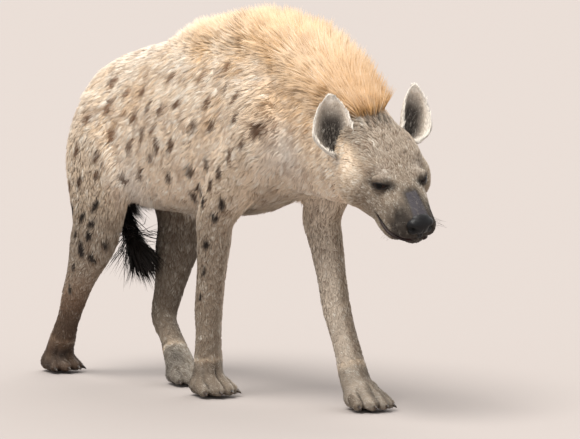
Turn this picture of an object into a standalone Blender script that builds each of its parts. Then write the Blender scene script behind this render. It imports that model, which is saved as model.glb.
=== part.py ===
"""A spotted hyena walking with its head held low, as a still life-size museum model.

X runs from the rump to the nose, Y to the animal's left and Z up; every size is in metres.
The body is fused whole from lofted forms out to the top of the coat, then parted by thin cuts
into the pieces that a person would name. The mane and the tail's brush are flat tapered locks.
"""

import math
import random

import bmesh
import bpy
import numpy as np
from mathutils import Matrix, Vector
from mathutils.bvhtree import BVHTree

# Driving dimensions
SHOULDER_HEIGHT = 0.80
UNIT = SHOULDER_HEIGHT / 0.80
GAP = 0.0003
REACH = 3.0

# Head: its frame starts midway between the eyes, x to the nose, y left, z up
HEAD_PLACE = (0.6006, -0.035, 0.4944)
HEAD_TURN = math.radians(-9.2)
HEAD_NOD = math.radians(34.0)
HEAD_ROLL = math.radians(7.0)
EYE_CENTRE = (-0.009, 0.0430, -0.001)
EYE_RADIUS = 0.0155
EYE_LOOK = (0.60, 0.72, 0.34)
LID_THICKNESS = 0.0026
LID_HALF_LENGTH = 0.0148
LID_RISE = 0.0046
LID_DROP = 0.0082
MOUTH_HEIGHT = 0.0026
MOUTH_DEPTH = 0.006

# Ears, in the head's frame at the root and upright in the world
EAR_ROOT = (-0.137, 0.091, 0.002)
EAR_ASIDE = -0.007
EAR_TALL = 0.132
EAR_WIDE = 0.043
EAR_CUP = 0.034
EAR_THICK = 0.0036
EAR_OUT = math.radians(15.0)
EAR_SPLAY = math.radians(6.5)
EAR_ROLL = math.radians(-6.5)

# Mane and tail brush
MANE_ENDS = (0.500, -0.260)
MANE_STEP = 0.033
LOCK_WIDE = 0.024
LOCK_THICK = 0.006
TAIL_LOCKS = 18

COLLECTION = "spotted_hyena"

# Trunk: x, top, bottom, half width, and how far the widest point lies below the middle
TRUNK = [
    (-0.505, 0.600, 0.500, 0.020, 0.0),
    (-0.490, 0.640, 0.465, 0.060, 0.0),
    (-0.450, 0.692, 0.430, 0.100, 0.0),
    (-0.370, 0.726, 0.402, 0.122, 0.0),
    (-0.280, 0.748, 0.380, 0.125, 0.05),
    (-0.160, 0.770, 0.376, 0.130, 0.10),
    (-0.040, 0.778, 0.379, 0.137, 0.12),
    (0.080, 0.784, 0.392, 0.134, 0.08),
    (0.160, 0.780, 0.415, 0.124, 0.0),
    (0.230, 0.763, 0.437, 0.108, 0.0),
    (0.290, 0.720, 0.455, 0.088, 0.0),
    (0.330, 0.670, 0.500, 0.050, 0.0),
]

# Neck: x, y, z of its middle, half size across the path in the upright plane, half size sideways
NECK = [
    (0.100, 0.000, 0.620, 0.165, 0.110),
    (0.200, 0.000, 0.608, 0.162, 0.106),
    (0.290, -0.004, 0.588, 0.148, 0.098),
    (0.370, -0.010, 0.566, 0.130, 0.092),
    (0.440, -0.018, 0.546, 0.114, 0.090),
    (0.510, -0.025, 0.526, 0.088, 0.078),
    (0.552, -0.030, 0.512, 0.050, 0.050),
]
NECK_IN_HEAD = 3

# The mane's core, half way up its locks: x, y, z, half height, half width
CREST = [
    (-0.300, 0.000, 0.725, 0.020, 0.022),
    (-0.170, 0.000, 0.748, 0.030, 0.034),
    (-0.040, 0.000, 0.765, 0.032, 0.041),
    (0.080, 0.000, 0.774, 0.036, 0.045),
    (0.170, 0.000, 0.768, 0.038, 0.047),
    (0.270, -0.003, 0.733, 0.038, 0.047),
    (0.360, -0.010, 0.688, 0.036, 0.045),
    (0.440, -0.018, 0.643, 0.034, 0.043),
    (0.510, -0.025, 0.601, 0.026, 0.036),
    (0.552, -0.030, 0.570, 0.008, 0.016),
]

# Head, in its own frame: x, top, bottom, half width, low
SKULL = [
    (-0.170, 0.026, -0.060, 0.050, 0.0),
    (-0.150, 0.048, -0.086, 0.080, 0.0),
    (-0.120, 0.057, -0.106, 0.096, 0.05),
    (-0.085, 0.054, -0.118, 0.095, 0.10),
    (-0.045, 0.043, -0.119, 0.079, 0.08),
    (-0.010, 0.030, -0.114, 0.061, 0.03),
    (0.020, 0.018, -0.106, 0.055, 0.0),
    (0.050, 0.009, -0.096, 0.049, 0.0),
    (0.080, 0.001, -0.088, 0.043, 0.0),
    (0.098, -0.006, -0.078, 0.036, 0.0),
    (0.108, -0.016, -0.060, 0.026, 0.0),
]

# Swellings on each side of the head: centre, radii
HEAD_SIDES = [
    ((-0.075, 0.066, -0.045), (0.055, 0.036, 0.050)),
    ((-0.082, 0.032, 0.012), (0.060, 0.042, 0.034)),
    ((-0.018, 0.036, 0.014), (0.026, 0.014, 0.009)),
    ((-0.020, 0.047, -0.027), (0.036, 0.012, 0.014)),
    ((0.076, 0.023, -0.043), (0.034, 0.022, 0.026)),
    ((0.020, 0.034, -0.078), (0.062, 0.018, 0.020)),
]
NOSE_PAD = ((0.096, 0.0, -0.029), (0.022, 0.029, 0.021))
CHIN = ((0.074, 0.0, -0.076), (0.029, 0.026, 0.014))
NOSTRIL = ((0.1145, 0.0165, -0.0300), (0.0090, 0.0055, 0.0055))

# The line of the mouth seen from the side, from the corner to the front: x, z
MOUTH_LINE = [(0.012, -0.060), (0.035, -0.068), (0.060, -0.071), (0.085, -0.068), (0.105, -0.061), (0.130, -0.055)]

# Each leg as its joints from the trunk to the wrist or hock and the ball of the foot
LEGS = {
    "fore_right": [
        (0.150, -0.070, 0.640), (0.195, -0.095, 0.560), (0.052, -0.098, 0.397),
        (-0.001, -0.078, 0.186), (-0.006, -0.075, 0.045),
    ],
    "fore_left": [
        (0.150, 0.070, 0.640), (0.235, 0.095, 0.560), (0.168, 0.098, 0.395),
        (0.265, 0.062, 0.200), (0.360, 0.042, 0.045),
    ],
    "hind_right": [
        (-0.340, -0.060, 0.610), (-0.368, -0.088, 0.505), (-0.374, -0.105, 0.340),
        (-0.483, -0.090, 0.173), (-0.562, -0.075, 0.042),
    ],
    "hind_left": [
        (-0.320, 0.060, 0.610), (-0.330, 0.088, 0.500), (-0.322, 0.090, 0.340),
        (-0.329, 0.045, 0.137), (-0.214, 0.004, 0.045),
    ],
}

# Half sizes of a leg: joint (and how far on to the next), fore and aft, across
FORE_GIRTH = [
    (0.0, 0.100, 0.060), (1.0, 0.085, 0.055), (1.5, 0.070, 0.048), (2.0, 0.052, 0.041),
    (2.25, 0.045, 0.035), (2.6, 0.037, 0.030), (3.0, 0.033, 0.030), (3.4, 0.030, 0.028), (4.0, 0.032, 0.034),
]
HIND_GIRTH = [
    (0.0, 0.120, 0.062), (1.0, 0.118, 0.060), (1.5, 0.096, 0.055), (2.0, 0.070, 0.045),
    (2.25, 0.064, 0.040), (2.45, 0.054, 0.034), (2.7, 0.041, 0.029), (3.0, 0.035, 0.026),
    (3.4, 0.029, 0.024), (4.0, 0.031, 0.034),
]
LOWER_LEG = 3.2
PAW_STATION = 3.62

# Where each paw stands: the ground under its ball, and the way its toes point
PAWS = {
    "fore_right": ((-0.010, -0.074), math.radians(-4.0)),
    "fore_left": ((0.378, 0.042), math.radians(-8.0)),
    "hind_right": ((-0.572, -0.075), math.radians(0.0)),
    "hind_left": ((-0.205, 0.002), math.radians(-4.0)),
}
PAW_SIZE = {"fore": 1.0, "hind": 0.90}

# Toes of a paw: knuckle and tip (x, y, z), radius of each, for the outer and the inner pair
TOES = [
    ((0.018, 0.034, 0.026), (0.043, 0.039, 0.015), 0.0165, 0.0140),
    ((0.030, 0.013, 0.032), (0.060, 0.014, 0.017), 0.0180, 0.0155),
]
PAW_PADS = [
    ((-0.004, 0.0, 0.024), (0.042, 0.041, 0.028)),
    ((0.000, 0.0, 0.038), (0.036, 0.036, 0.030)),
]
CLAW_LENGTH = 0.019
CLAW_RADIUS = 0.0045

# Tail from its root down between the thighs: x, y, z, half sizes of its core
TAIL = [
    (-0.470, 0.000, 0.615, 0.030, 0.030),
    (-0.502, 0.000, 0.590, 0.026, 0.026),
    (-0.504, 0.000, 0.540, 0.024, 0.024),
    (-0.492, 0.002, 0.475, 0.023, 0.022),
    (-0.462, 0.006, 0.415, 0.030, 0.022),
    (-0.424, 0.010, 0.350, 0.034, 0.020),
    (-0.388, 0.012, 0.290, 0.020, 0.013),
]
TAIL_TIPS = ((-0.458, 0.015, 0.248), (-0.322, 0.015, 0.193))

# Cuts: a point and the way its normal points
NECK_BASE = (Vector((0.255, 0.0, 0.620)), Vector((0.954, 0.0, 0.300)).normalized())
HEAD_BASE = (Vector((0.457, -0.016, 0.550)), Vector((0.930, -0.080, -0.362)).normalized())

# The wedge that parts each leg from the trunk: x range, height at the middle, rise outwards
GROIN = {
    "fore": (-0.030, 0.262, 0.392, 0.85),
    "hind": (-0.700, -0.230, 0.392, 0.90),
}
GROIN_WIDE = 0.30
# Below the belly each leg has all the space on its side: x range, and where left parts from right
UNDER_BELLY = 0.350
UNDER = {
    "fore": (-0.100, 0.600, -0.018),
    "hind": (-0.800, -0.101, -0.036),
}

COLOURS = {
    "torso": (0.42, 0.29, 0.17),
    "neck": (0.52, 0.29, 0.11),
    "head": (0.30, 0.24, 0.18),
    "ear": (0.42, 0.38, 0.34),
    "eye": (0.02, 0.012, 0.008),
    "leg": (0.36, 0.28, 0.20),
    "paw": (0.13, 0.09, 0.06),
    "tail": (0.02, 0.017, 0.015),
}


def clear_scene():
    for item in list(bpy.data.objects):
        bpy.data.objects.remove(item, do_unlink=True)


def collection(name):
    made = bpy.data.collections.new(name)
    bpy.context.scene.collection.children.link(made)
    return made


def add_object(name, mesh, home):
    item = bpy.data.objects.new(name, mesh)
    home.objects.link(item)
    return item


def mesh_of(form, name="form"):
    mesh = bpy.data.meshes.new(name)
    bmesh.ops.recalc_face_normals(form, faces=form.faces)
    form.to_mesh(mesh)
    form.free()
    return mesh


def smooth_rows(rows, steps):
    """Points on a Catmull-Rom curve through the rows, with steps points for each stretch."""
    rows = np.array(rows, float)
    padded = np.vstack([2 * rows[0] - rows[1], rows, 2 * rows[-1] - rows[-2]])
    out = []
    for i in range(1, len(padded) - 2):
        before, start, end, after = padded[i - 1 : i + 3]
        for t in np.arange(steps) / steps:
            out.append(
                0.5 * (2 * start + (end - before) * t
                       + (2 * before - 5 * start + 4 * end - after) * t**2
                       + (3 * start - before - 3 * end + after) * t**3)
            )
    out.append(rows[-1])
    return np.array(out)


def loft(rings, tip=None):
    """A closed tube through the rings, each an array of as many points, flat at its end or drawn to a tip."""
    form = bmesh.new()
    loops = [[form.verts.new(point) for point in ring] for ring in rings]
    count = len(loops[0])
    for low, high in zip(loops, loops[1:]):
        for i in range(count):
            j = (i + 1) % count
            form.faces.new((low[i], low[j], high[j], high[i]))
    form.faces.new(loops[0][::-1])
    if tip is None:
        form.faces.new(loops[-1])
    else:
        end = form.verts.new(tip)
        for i in range(count):
            form.faces.new((loops[-1][i], loops[-1][(i + 1) % count], end))
    return mesh_of(form)


def circle(count):
    angles = np.linspace(0, 2 * math.pi, count, endpoint=False)
    return np.cos(angles), np.sin(angles)


def barrel(rows, sides=28, steps=4):
    """A form along X. A row is x, top, bottom, half width, and how far down the widest point lies."""
    across, up = circle(sides)
    rings = []
    for x, top, bottom, half, low in smooth_rows(rows, steps):
        middle, tall = (top + bottom) / 2, (top - bottom) / 2
        width = half * across * (1 - low * up)
        rings.append(np.stack([np.full(sides, x), width, middle + tall * up], 1))
    return loft(rings)


def limb(rows, sides=20, steps=4):
    """A form along a path. A row is x, y, z, half size fore and aft, and half size across."""
    rows = smooth_rows(rows, steps)
    path = rows[:, :3]
    ways = np.gradient(path, axis=0)
    along, across = circle(sides)
    rings = []
    for point, way, row in zip(path, ways, rows):
        way = Vector(way).normalized()
        side = Vector((0, 1, 0))
        side = (side - way * side.dot(way)).normalized()
        fore = side.cross(way)
        ring = [Vector(point) + fore * row[3] * a + side * row[4] * b for a, b in zip(along, across)]
        rings.append(np.array(ring))
    return loft(rings)


def ball(centre, radii, sides=20):
    """An ellipsoid, from a UV sphere."""
    form = bmesh.new()
    bmesh.ops.create_uvsphere(form, u_segments=sides, v_segments=sides // 2, radius=1.0)
    place = Matrix.Translation(Vector(centre)) @ Matrix.Diagonal((*radii, 1.0))
    bmesh.ops.transform(form, matrix=place, verts=form.verts)
    return mesh_of(form)


def moved(mesh, place):
    mesh.transform(place)
    return mesh


def mirrored(point, side):
    return Vector((point[0], side * point[1], point[2]))


def joined(meshes):
    form = bmesh.new()
    for mesh in meshes:
        form.from_mesh(mesh)
    made = bpy.data.meshes.new("joined")
    form.to_mesh(made)
    form.free()
    return made


def evaluated(item):
    """The object's mesh with its modifiers applied; the object is removed."""
    graph = bpy.context.evaluated_depsgraph_get()
    mesh = bpy.data.meshes.new_from_object(item.evaluated_get(graph))
    bpy.data.objects.remove(item, do_unlink=True)
    return mesh


def working(mesh):
    return add_object("working", mesh, bpy.context.scene.collection)


def fused(meshes, voxel, rounds):
    """One closed skin round all the meshes, with its creases eased by rounds of smoothing."""
    item = working(joined(meshes))
    remesh = item.modifiers.new("Skin", "REMESH")
    remesh.mode = "VOXEL"
    remesh.voxel_size = voxel
    smooth = item.modifiers.new("Ease", "SMOOTH")
    smooth.factor = 0.5
    smooth.iterations = rounds
    return evaluated(item)


def thinned(mesh, triangles):
    """The mesh with its faces collapsed to about this many triangles, fewest where it is flat."""
    count = sum(len(face.vertices) - 2 for face in mesh.polygons)
    item = working(mesh)
    thin = item.modifiers.new("Thin", "DECIMATE")
    thin.ratio = min(1.0, triangles / count)
    return evaluated(item)


def grown(mesh, distance):
    """A copy of the mesh with its surface moved out along its normals."""
    item = working(mesh.copy())
    displace = item.modifiers.new("Grow", "DISPLACE")
    displace.mid_level = 0.0
    displace.strength = distance
    return evaluated(item)


def combined(mesh, others, operation, solver="EXACT"):
    """The mesh united with, cut by or kept within all the others, which are closed meshes."""
    helpers = collection("helpers")
    for other in others:
        add_object("helper", other, helpers)
    item = working(mesh)
    join = item.modifiers.new("Combine", "BOOLEAN")
    join.operation = operation
    join.solver = solver
    join.operand_type = "COLLECTION"
    join.collection = helpers
    made = evaluated(item)
    for helper in list(helpers.objects):
        bpy.data.objects.remove(helper, do_unlink=True)
    bpy.data.collections.remove(helpers)
    return made


def cut_by(mesh, others):
    return combined(mesh, others, "DIFFERENCE")


def united(mesh, others):
    return combined(mesh, others, "UNION")


def kept_within(mesh, other):
    return combined(mesh, [other], "INTERSECT")


def largest(mesh):
    """Only the largest closed surface of the mesh."""
    form = bmesh.new()
    form.from_mesh(mesh)
    bmesh.ops.triangulate(form, faces=form.faces)
    left = set(form.faces)
    best, most = [], 0.0
    while left:
        start = left.pop()
        island, front = [start], [start]
        while front:
            face = front.pop()
            for edge in face.edges:
                for other in edge.link_faces:
                    if other in left:
                        left.remove(other)
                        island.append(other)
                        front.append(other)
        volume = sum(
            face.verts[0].co.dot(face.verts[1].co.cross(face.verts[2].co)) for face in island
        ) / 6
        if volume > most:
            best, most = island, volume
    drop = set(form.faces) - set(best)
    bmesh.ops.delete(form, geom=list(drop), context="FACES")
    loose = [vert for vert in form.verts if not vert.link_faces]
    bmesh.ops.delete(form, geom=loose, context="VERTS")
    form.to_mesh(mesh)
    form.free()
    return mesh


def half_space(plane, side, back=0.0):
    """A great block that fills one side of a plane, its face set back by a distance."""
    point, normal = plane
    normal = normal * side
    form = bmesh.new()
    bmesh.ops.create_cube(form, size=REACH)
    turn = normal.to_track_quat("Z", "Y").to_matrix().to_4x4()
    place = Matrix.Translation(point + normal * (REACH / 2 + back)) @ turn
    bmesh.ops.transform(form, matrix=place, verts=form.verts)
    return mesh_of(form)


def leg_rows(joints, girth, start=0.0):
    joints = np.array(joints, float)
    rows = []
    for station, deep, wide in girth:
        if station < start:
            continue
        low = min(int(station), len(joints) - 2)
        point = joints[low] + (station - low) * (joints[low + 1] - joints[low])
        rows.append((*point, deep, wide))
    return rows


def girth_of(name):
    return FORE_GIRTH if name.startswith("fore") else HIND_GIRTH


def head_frame():
    turn = Matrix.Rotation(HEAD_TURN, 4, "Z") @ Matrix.Rotation(HEAD_NOD, 4, "Y")
    return Matrix.Translation(Vector(HEAD_PLACE)) @ turn @ Matrix.Rotation(HEAD_ROLL, 4, "X")


def head_forms():
    forms = [barrel(SKULL), ball(*NOSE_PAD), ball(*CHIN)]
    for side in (-1, 1):
        for centre, radii in HEAD_SIDES:
            forms.append(ball(mirrored(centre, side), radii))
    return forms


def groin_wedge(name, grow):
    """The block under the trunk on one side that holds a leg, made larger all round by grow."""
    pair = name.split("_")[0]
    start, end, height, rise = GROIN[pair]
    side = 1 if name.endswith("left") else -1
    inner = GAP / 2 - grow
    lift = height + grow * 1.4
    foot = UNDER_BELLY - 0.02
    corners = [
        (inner, lift + inner * rise), (GROIN_WIDE, lift + GROIN_WIDE * rise), (GROIN_WIDE, foot), (inner, foot),
    ]
    rings = []
    for x in (start - grow, end + grow):
        rings.append(np.array([(x, side * y, z) for y, z in corners]))
    upper = loft(rings)
    start, end, split = UNDER[pair]
    near, far = split + side * (GAP / 2 - grow), side * GROIN_WIDE
    corners = [(near, UNDER_BELLY), (far, UNDER_BELLY), (far, -0.1), (near, -0.1)]
    lower = loft([np.array([(x, y, z) for y, z in corners]) for x in (start - grow, end + grow)])
    return united(upper, [lower])


def paw_plane(name):
    """The cut above a paw, square to the leg there."""
    joints = np.array(LEGS[name], float)
    low = int(PAW_STATION)
    way = joints[low + 1] - joints[low]
    point = joints[low] + (PAW_STATION - low) * way
    return Vector(point), Vector(way).normalized()


def claw(tip, way):
    """A blunt curved claw that starts inside the toe's tip and points forward and down."""
    side = Vector((0, 0, 1)).cross(way)
    rings = []
    for t, radius in ((0.0, 1.0), (0.5, 0.8), (1.0, 0.0)):
        reach = 0.008 + (t - 0.25) * CLAW_LENGTH
        point = tip + way * reach - Vector((0, 0, 0.30 * t * t * CLAW_LENGTH))
        half = CLAW_RADIUS * radius
        ring = [point + (side * a + Vector((0, 0, 1.2 * b))) * half for a, b in zip(*circle(5))]
        rings.append(np.array(ring))
    return loft(rings[:-1], rings[-1][0])


def paw_frame(name):
    place, heading = PAWS[name]
    return Matrix.Translation(Vector((*place, 0.0))) @ Matrix.Rotation(heading, 4, "Z")


def paw(name):
    size = PAW_SIZE[name.split("_")[0]]
    scale = Matrix.Diagonal((size, size, size, 1.0))
    forms = [ball(*pad) for pad in PAW_PADS]
    claws = []
    for knuckle, tip, wide, narrow in TOES:
        for side in (-1, 1):
            first, second = mirrored(knuckle, side), mirrored(tip, side)
            between = (first + second) / 2
            forms.append(ball(first, (wide * 1.1, wide * 0.86, wide)))
            forms.append(ball(between, ((wide + narrow) / 2 * 1.15, narrow * 0.9, (wide + narrow) / 2)))
            forms.append(ball(second, (narrow * 1.1, narrow * 0.9, narrow)))
            way = (second - first) * Vector((1, 1, 0))
            claws.append(claw(second, way.normalized()))
    frame = paw_frame(name) @ scale
    forms = [moved(form, frame) for form in forms]
    rows = leg_rows(LEGS[name], girth_of(name), LOWER_LEG)
    rows.append((*(frame @ Vector((0.022, 0, 0.026))), 0.022, 0.028))
    body = thinned(fused(forms + [limb(rows)], 0.003, 8), 360)
    body = united(body, [moved(form, frame) for form in claws])
    floor = (Vector((0, 0, 0)), Vector((0, 0, 1)))
    return cut_by(body, [half_space(floor, -1), half_space(paw_plane(name), -1, -GAP / 2)])


def ear(side):
    """A cupped leaf of even thickness, its edges turned forward, standing on the head."""
    form = bmesh.new()
    grid = []
    tall_steps, wide_steps = 9, 8
    for i in range(tall_steps + 1):
        t = min(1 - (1 - i / tall_steps) ** 1.5, 0.99)
        if t < 0.40:
            wide = EAR_WIDE * (0.42 + 0.58 * math.sin(math.pi / 2 * t / 0.40))
        else:
            wide = EAR_WIDE * max(1 - ((t - 0.40) / 0.60) ** 1.9, 0.0) ** 0.72
        root = max(0.0, 1 - t / 0.35)
        cup = (EAR_CUP * (1 - t) ** 0.8 + 0.004) * (1 - 0.45 * root)
        inward = 0.026 * max(0.0, 1 - t / 0.40) ** 2
        row = []
        for j in range(wide_steps + 1):
            round_by = math.radians(82 + 24 * root)
            angle = round_by * (2 * j / wide_steps - 1)
            across = wide * math.sin(angle)
            ahead = cup * (1 - math.cos(angle)) - 0.006 * t * t
            row.append(form.verts.new((ahead, across - side * inward, EAR_TALL * t)))
        grid.append(row)
    for low, high in zip(grid, grid[1:]):
        for i in range(wide_steps):
            form.faces.new((low[i], low[i + 1], high[i + 1], high[i]))
    bmesh.ops.triangulate(form, faces=form.faces)
    root = head_frame() @ (mirrored(EAR_ROOT, side) + Vector((0, EAR_ASIDE, 0)))
    turn = Matrix.Rotation(HEAD_TURN + side * EAR_OUT, 4, "Z") @ Matrix.Rotation(EAR_ROLL - side * EAR_SPLAY, 4, "X")
    sunk = Matrix.Translation(Vector((-0.012, 0, -0.022)))
    bmesh.ops.transform(form, matrix=Matrix.Translation(root) @ turn @ sunk, verts=form.verts)
    item = working(mesh_of(form))
    shell = item.modifiers.new("Thickness", "SOLIDIFY")
    shell.thickness = EAR_THICK
    shell.offset = 0.0
    return evaluated(item)


def lid_opening(side):
    """The almond between the lids, as a prism from inside the eye out along its look."""
    look = mirrored(EYE_LOOK, side).normalized()
    level = Vector((0, 0, 1)).cross(look).normalized() * side
    upright = look.cross(level) * side
    centre = mirrored(EYE_CENTRE, side)
    steps = 6
    outline = []
    for i in range(2 * steps):
        t = i / steps - 1 if i < steps else 1 - (i - steps) / steps
        edge = LID_RISE if i < steps else -LID_DROP
        outline.append((LID_HALF_LENGTH * t, edge * (1 - t * t)))
    rings = []
    for depth in (0.0, 0.05):
        points = [centre + look * depth + level * a + upright * b for a, b in outline]
        rings.append(np.array(points))
    return loft(rings)


def mouth_cutter(head):
    """A thin curved sheet along the mouth, cut off where it would go deeper than the lips."""
    form = bmesh.new()
    rows = []
    for x, z in smooth_rows(MOUTH_LINE, 3):
        rows.append([form.verts.new((x, y, z)) for y in (-0.08, 0.0, 0.08)])
    for low, high in zip(rows, rows[1:]):
        for i in range(2):
            form.faces.new((low[i], low[i + 1], high[i + 1], high[i]))
    item = working(mesh_of(form))
    shell = item.modifiers.new("Thickness", "SOLIDIFY")
    shell.thickness = MOUTH_HEIGHT
    shell.offset = 0.0
    sheet = moved(evaluated(item), head_frame())
    return cut_by(sheet, [grown(head, -MOUTH_DEPTH)])


def lock(root, way, bend, side, length, wide, thick):
    """A flat tapered lock from a sunk root: its way turns by bend (a vector) towards the tip."""
    rings = []
    point = Vector(root)
    stations = (0.0, 0.45, 0.80)
    before = 0.0
    for t in stations:
        now = (way + bend * t).normalized()
        point = point + now * (t - before) * length
        before = t
        across = (side - now * side.dot(now)).normalized()
        flat = across.cross(now)
        half, deep = wide * (1 - t) ** 0.55, thick * (1 - 0.85 * t)
        rings.append(np.array([point + across * half, point + flat * deep, point - across * half, point - flat * deep]))
    return loft(rings, point + (way + bend).normalized() * (1 - before) * length)


def surface_of(mesh):
    form = bmesh.new()
    form.from_mesh(mesh)
    tree = BVHTree.FromBMesh(form)
    form.free()
    return tree


def mane_height(x):
    """The length of the mane's locks at a place along the back."""
    places = (-0.26, -0.12, 0.02, 0.12, 0.30, 0.42, 0.50)
    lengths = (0.026, 0.034, 0.044, 0.052, 0.054, 0.050, 0.040)
    return float(np.interp(x, places, lengths))


def mane_locks(body):
    """Locks along the top of the neck and back, each with the place of its root."""
    rng = random.Random(7)
    surface = surface_of(body)
    start, end = MANE_ENDS
    stations = int((start - end) / MANE_STEP)
    locks = []
    for i in range(stations + 1):
        x = start + (end - start) * i / stations
        middle = -0.022 * max(0.0, min(1.0, (x - 0.25) / 0.25))
        columns = (-1.2, 0.0, 1.2) if i % 2 else (-1.7, -0.6, 0.6, 1.7)
        for column in columns:
            y = middle + column * 0.038 + rng.uniform(-0.004, 0.004)
            above = Vector((x + rng.uniform(-0.006, 0.006), y, 1.2))
            place, normal, _, _ = surface.ray_cast(above, Vector((0, 0, -1)))
            back = Vector((-1, 0, 0.05))
            upright = Vector((normal.x, normal.y * 0.5, max(normal.z, 0.6)))
            way = (upright + back * rng.uniform(0.35, 0.6)).normalized()
            bend = back * rng.uniform(0.3, 0.6)
            side = Vector((1, rng.uniform(-0.5, 0.5), 0)).normalized()
            length = mane_height(x) * rng.uniform(0.92, 1.06) + 0.016
            root = place - way * 0.016
            locks.append((root, lock(root, way, bend, side, length, LOCK_WIDE, LOCK_THICK)))
    return locks


def tail_locks():
    rng = random.Random(11)
    path = smooth_rows(TAIL, 6)
    rear, front = (Vector(tip) for tip in TAIL_TIPS)
    locks = []
    for i in range(TAIL_LOCKS):
        t = 0.55 + 0.45 * (i / (TAIL_LOCKS - 1)) ** 0.8
        row = path[int(t * (len(path) - 1))]
        fan = (i * 0.618) % 1.0
        tip = rear.lerp(front, fan)
        out = Vector((fan - 0.5, 0.55 * math.sin(i * 2.4), 0.0))
        root = Vector(row[:3]) + out * row[3] * 0.5
        along = (tip - root).normalized()
        length = min((tip - root).length * rng.uniform(0.92, 1.04), rng.uniform(0.13, 0.17))
        way = (along + out * 0.35).normalized()
        side = Vector((1, rng.uniform(-0.4, 0.4), 0))
        locks.append(lock(root, way, -out * 0.35, side, length, 0.015, 0.006))
    return locks


def material(name, colour, roughness):
    made = bpy.data.materials.new(name)
    made.use_nodes = True
    shader = made.node_tree.nodes["Principled BSDF"]
    shader.inputs["Base Color"].default_value = (*colour, 1.0)
    shader.inputs["Roughness"].default_value = roughness
    shader.inputs["Metallic"].default_value = 0.0
    return made


def origin_shift(pieces):
    """What brings the middle of the whole box's underside to the origin."""
    points = np.array([vert.co[:] for mesh in pieces.values() for vert in mesh.vertices])
    low, high = points.min(axis=0), points.max(axis=0)
    return Matrix.Translation((-(low[0] + high[0]) / 2, -(low[1] + high[1]) / 2, -low[2]))


def finished(name, mesh, shift, home):
    """The node's object with its own material, scaled to the driving height."""
    mesh.transform(Matrix.Scale(UNIT, 4) @ shift)
    kind = next(key for key in ("paw", "ear", "eye", "tail", "head", "neck", "torso", "leg") if key in name)
    mesh.materials.clear()
    mesh.materials.append(material(name, COLOURS[kind], 0.15 if kind == "eye" else 0.85))
    mesh.shade_smooth()
    mesh.set_sharp_from_angle(angle=math.radians(50))
    return add_object(name, mesh, home)


def make_body():
    forms = [barrel(TRUNK), limb(NECK), limb(CREST)]
    for name, joints in LEGS.items():
        forms.append(limb(leg_rows(joints, girth_of(name))))
    body = thinned(fused(forms, 0.008, 10), 3900)
    locks = mane_locks(body)
    ahead = half_space(NECK_BASE, 1)
    torso = cut_by(body.copy(), [ahead] + [groin_wedge(name, GAP) for name in LEGS])
    neck = cut_by(body.copy(), [half_space(NECK_BASE, -1, -GAP), half_space(HEAD_BASE, 1)])
    point, normal = NECK_BASE
    on_neck = [made for root, made in locks if (root - point).dot(normal) > 0]
    on_torso = [made for root, made in locks if (root - point).dot(normal) <= 0]
    torso = cut_by(united(torso, on_torso), [half_space(NECK_BASE, 1)])
    neck = cut_by(united(neck, on_neck), [half_space(NECK_BASE, -1, -GAP), half_space(HEAD_BASE, 1)])
    made = {"torso": torso, "neck": neck}
    for name in LEGS:
        leg = kept_within(body.copy(), groin_wedge(name, 0.0))
        leg = cut_by(leg, [half_space(paw_plane(name), 1, -GAP / 2)])
        made[name.replace("_", "_leg_")] = leg
        made[name.replace("_", "_paw_")] = paw(name)
    made["tail"] = make_tail(body)
    return made


def make_head():
    frame = head_frame()
    forms = [moved(form, frame) for form in head_forms()]
    forms += [limb(NECK[NECK_IN_HEAD:]), limb(CREST[-4:])]
    head = fused(forms, 0.004, 11)
    head = thinned(cut_by(head, [half_space(HEAD_BASE, -1, 0.02)]), 2050)
    made = {}
    near_neck = half_space(HEAD_BASE, -1, -GAP)
    for side, word in ((-1, "right"), (1, "left")):
        made["ear_" + word] = cut_by(ear(side), [grown(head, 2 * GAP)])
    lids, sockets = [], [mouth_cutter(head), near_neck]
    for side, word in ((-1, "right"), (1, "left")):
        centre = mirrored(EYE_CENTRE, side)
        outer, socket = EYE_RADIUS + LID_THICKNESS, EYE_RADIUS + GAP
        lids.append(moved(ball(centre, (outer,) * 3, 14), frame))
        sockets.append(moved(ball(centre, (socket,) * 3, 14), frame))
        sockets.append(moved(lid_opening(side), frame))
        sockets.append(moved(ball(mirrored(NOSTRIL[0], side), NOSTRIL[1], 8), frame))
        made["eye_" + word] = moved(ball(centre, (EYE_RADIUS,) * 3, 14), frame)
    made["head"] = cut_by(united(head, lids), sockets)
    return made


def make_tail(body):
    core = limb(TAIL, sides=10, steps=2)
    brush = united(core, tail_locks())
    return cut_by(brush, [grown(body, 2 * GAP)])


def main():
    clear_scene()
    home = collection(COLLECTION)
    pieces = make_body()
    pieces.update(make_head())
    pieces = {name: largest(mesh) for name, mesh in pieces.items()}
    shift = origin_shift(pieces)
    for name, mesh in pieces.items():
        finished(name, mesh, shift, home)


main()
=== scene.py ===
# %% [markdown]
# # A spotted hyena, walking with its head low
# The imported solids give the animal's true size and outline. This lesson dresses them: one skin over
# the whole body, a coat of many thin tufts that follow the lie of the hair, a standing mane, a black
# tail brush, wet eyes, a leathery nose and blunt claws. We start with the solids, because every
# later piece is placed from them.

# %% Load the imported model
import math

import bmesh
import bpy
import numpy as np
from mathutils import Matrix, Vector
from mathutils.bvhtree import BVHTree
from mathutils.kdtree import KDTree


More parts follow.
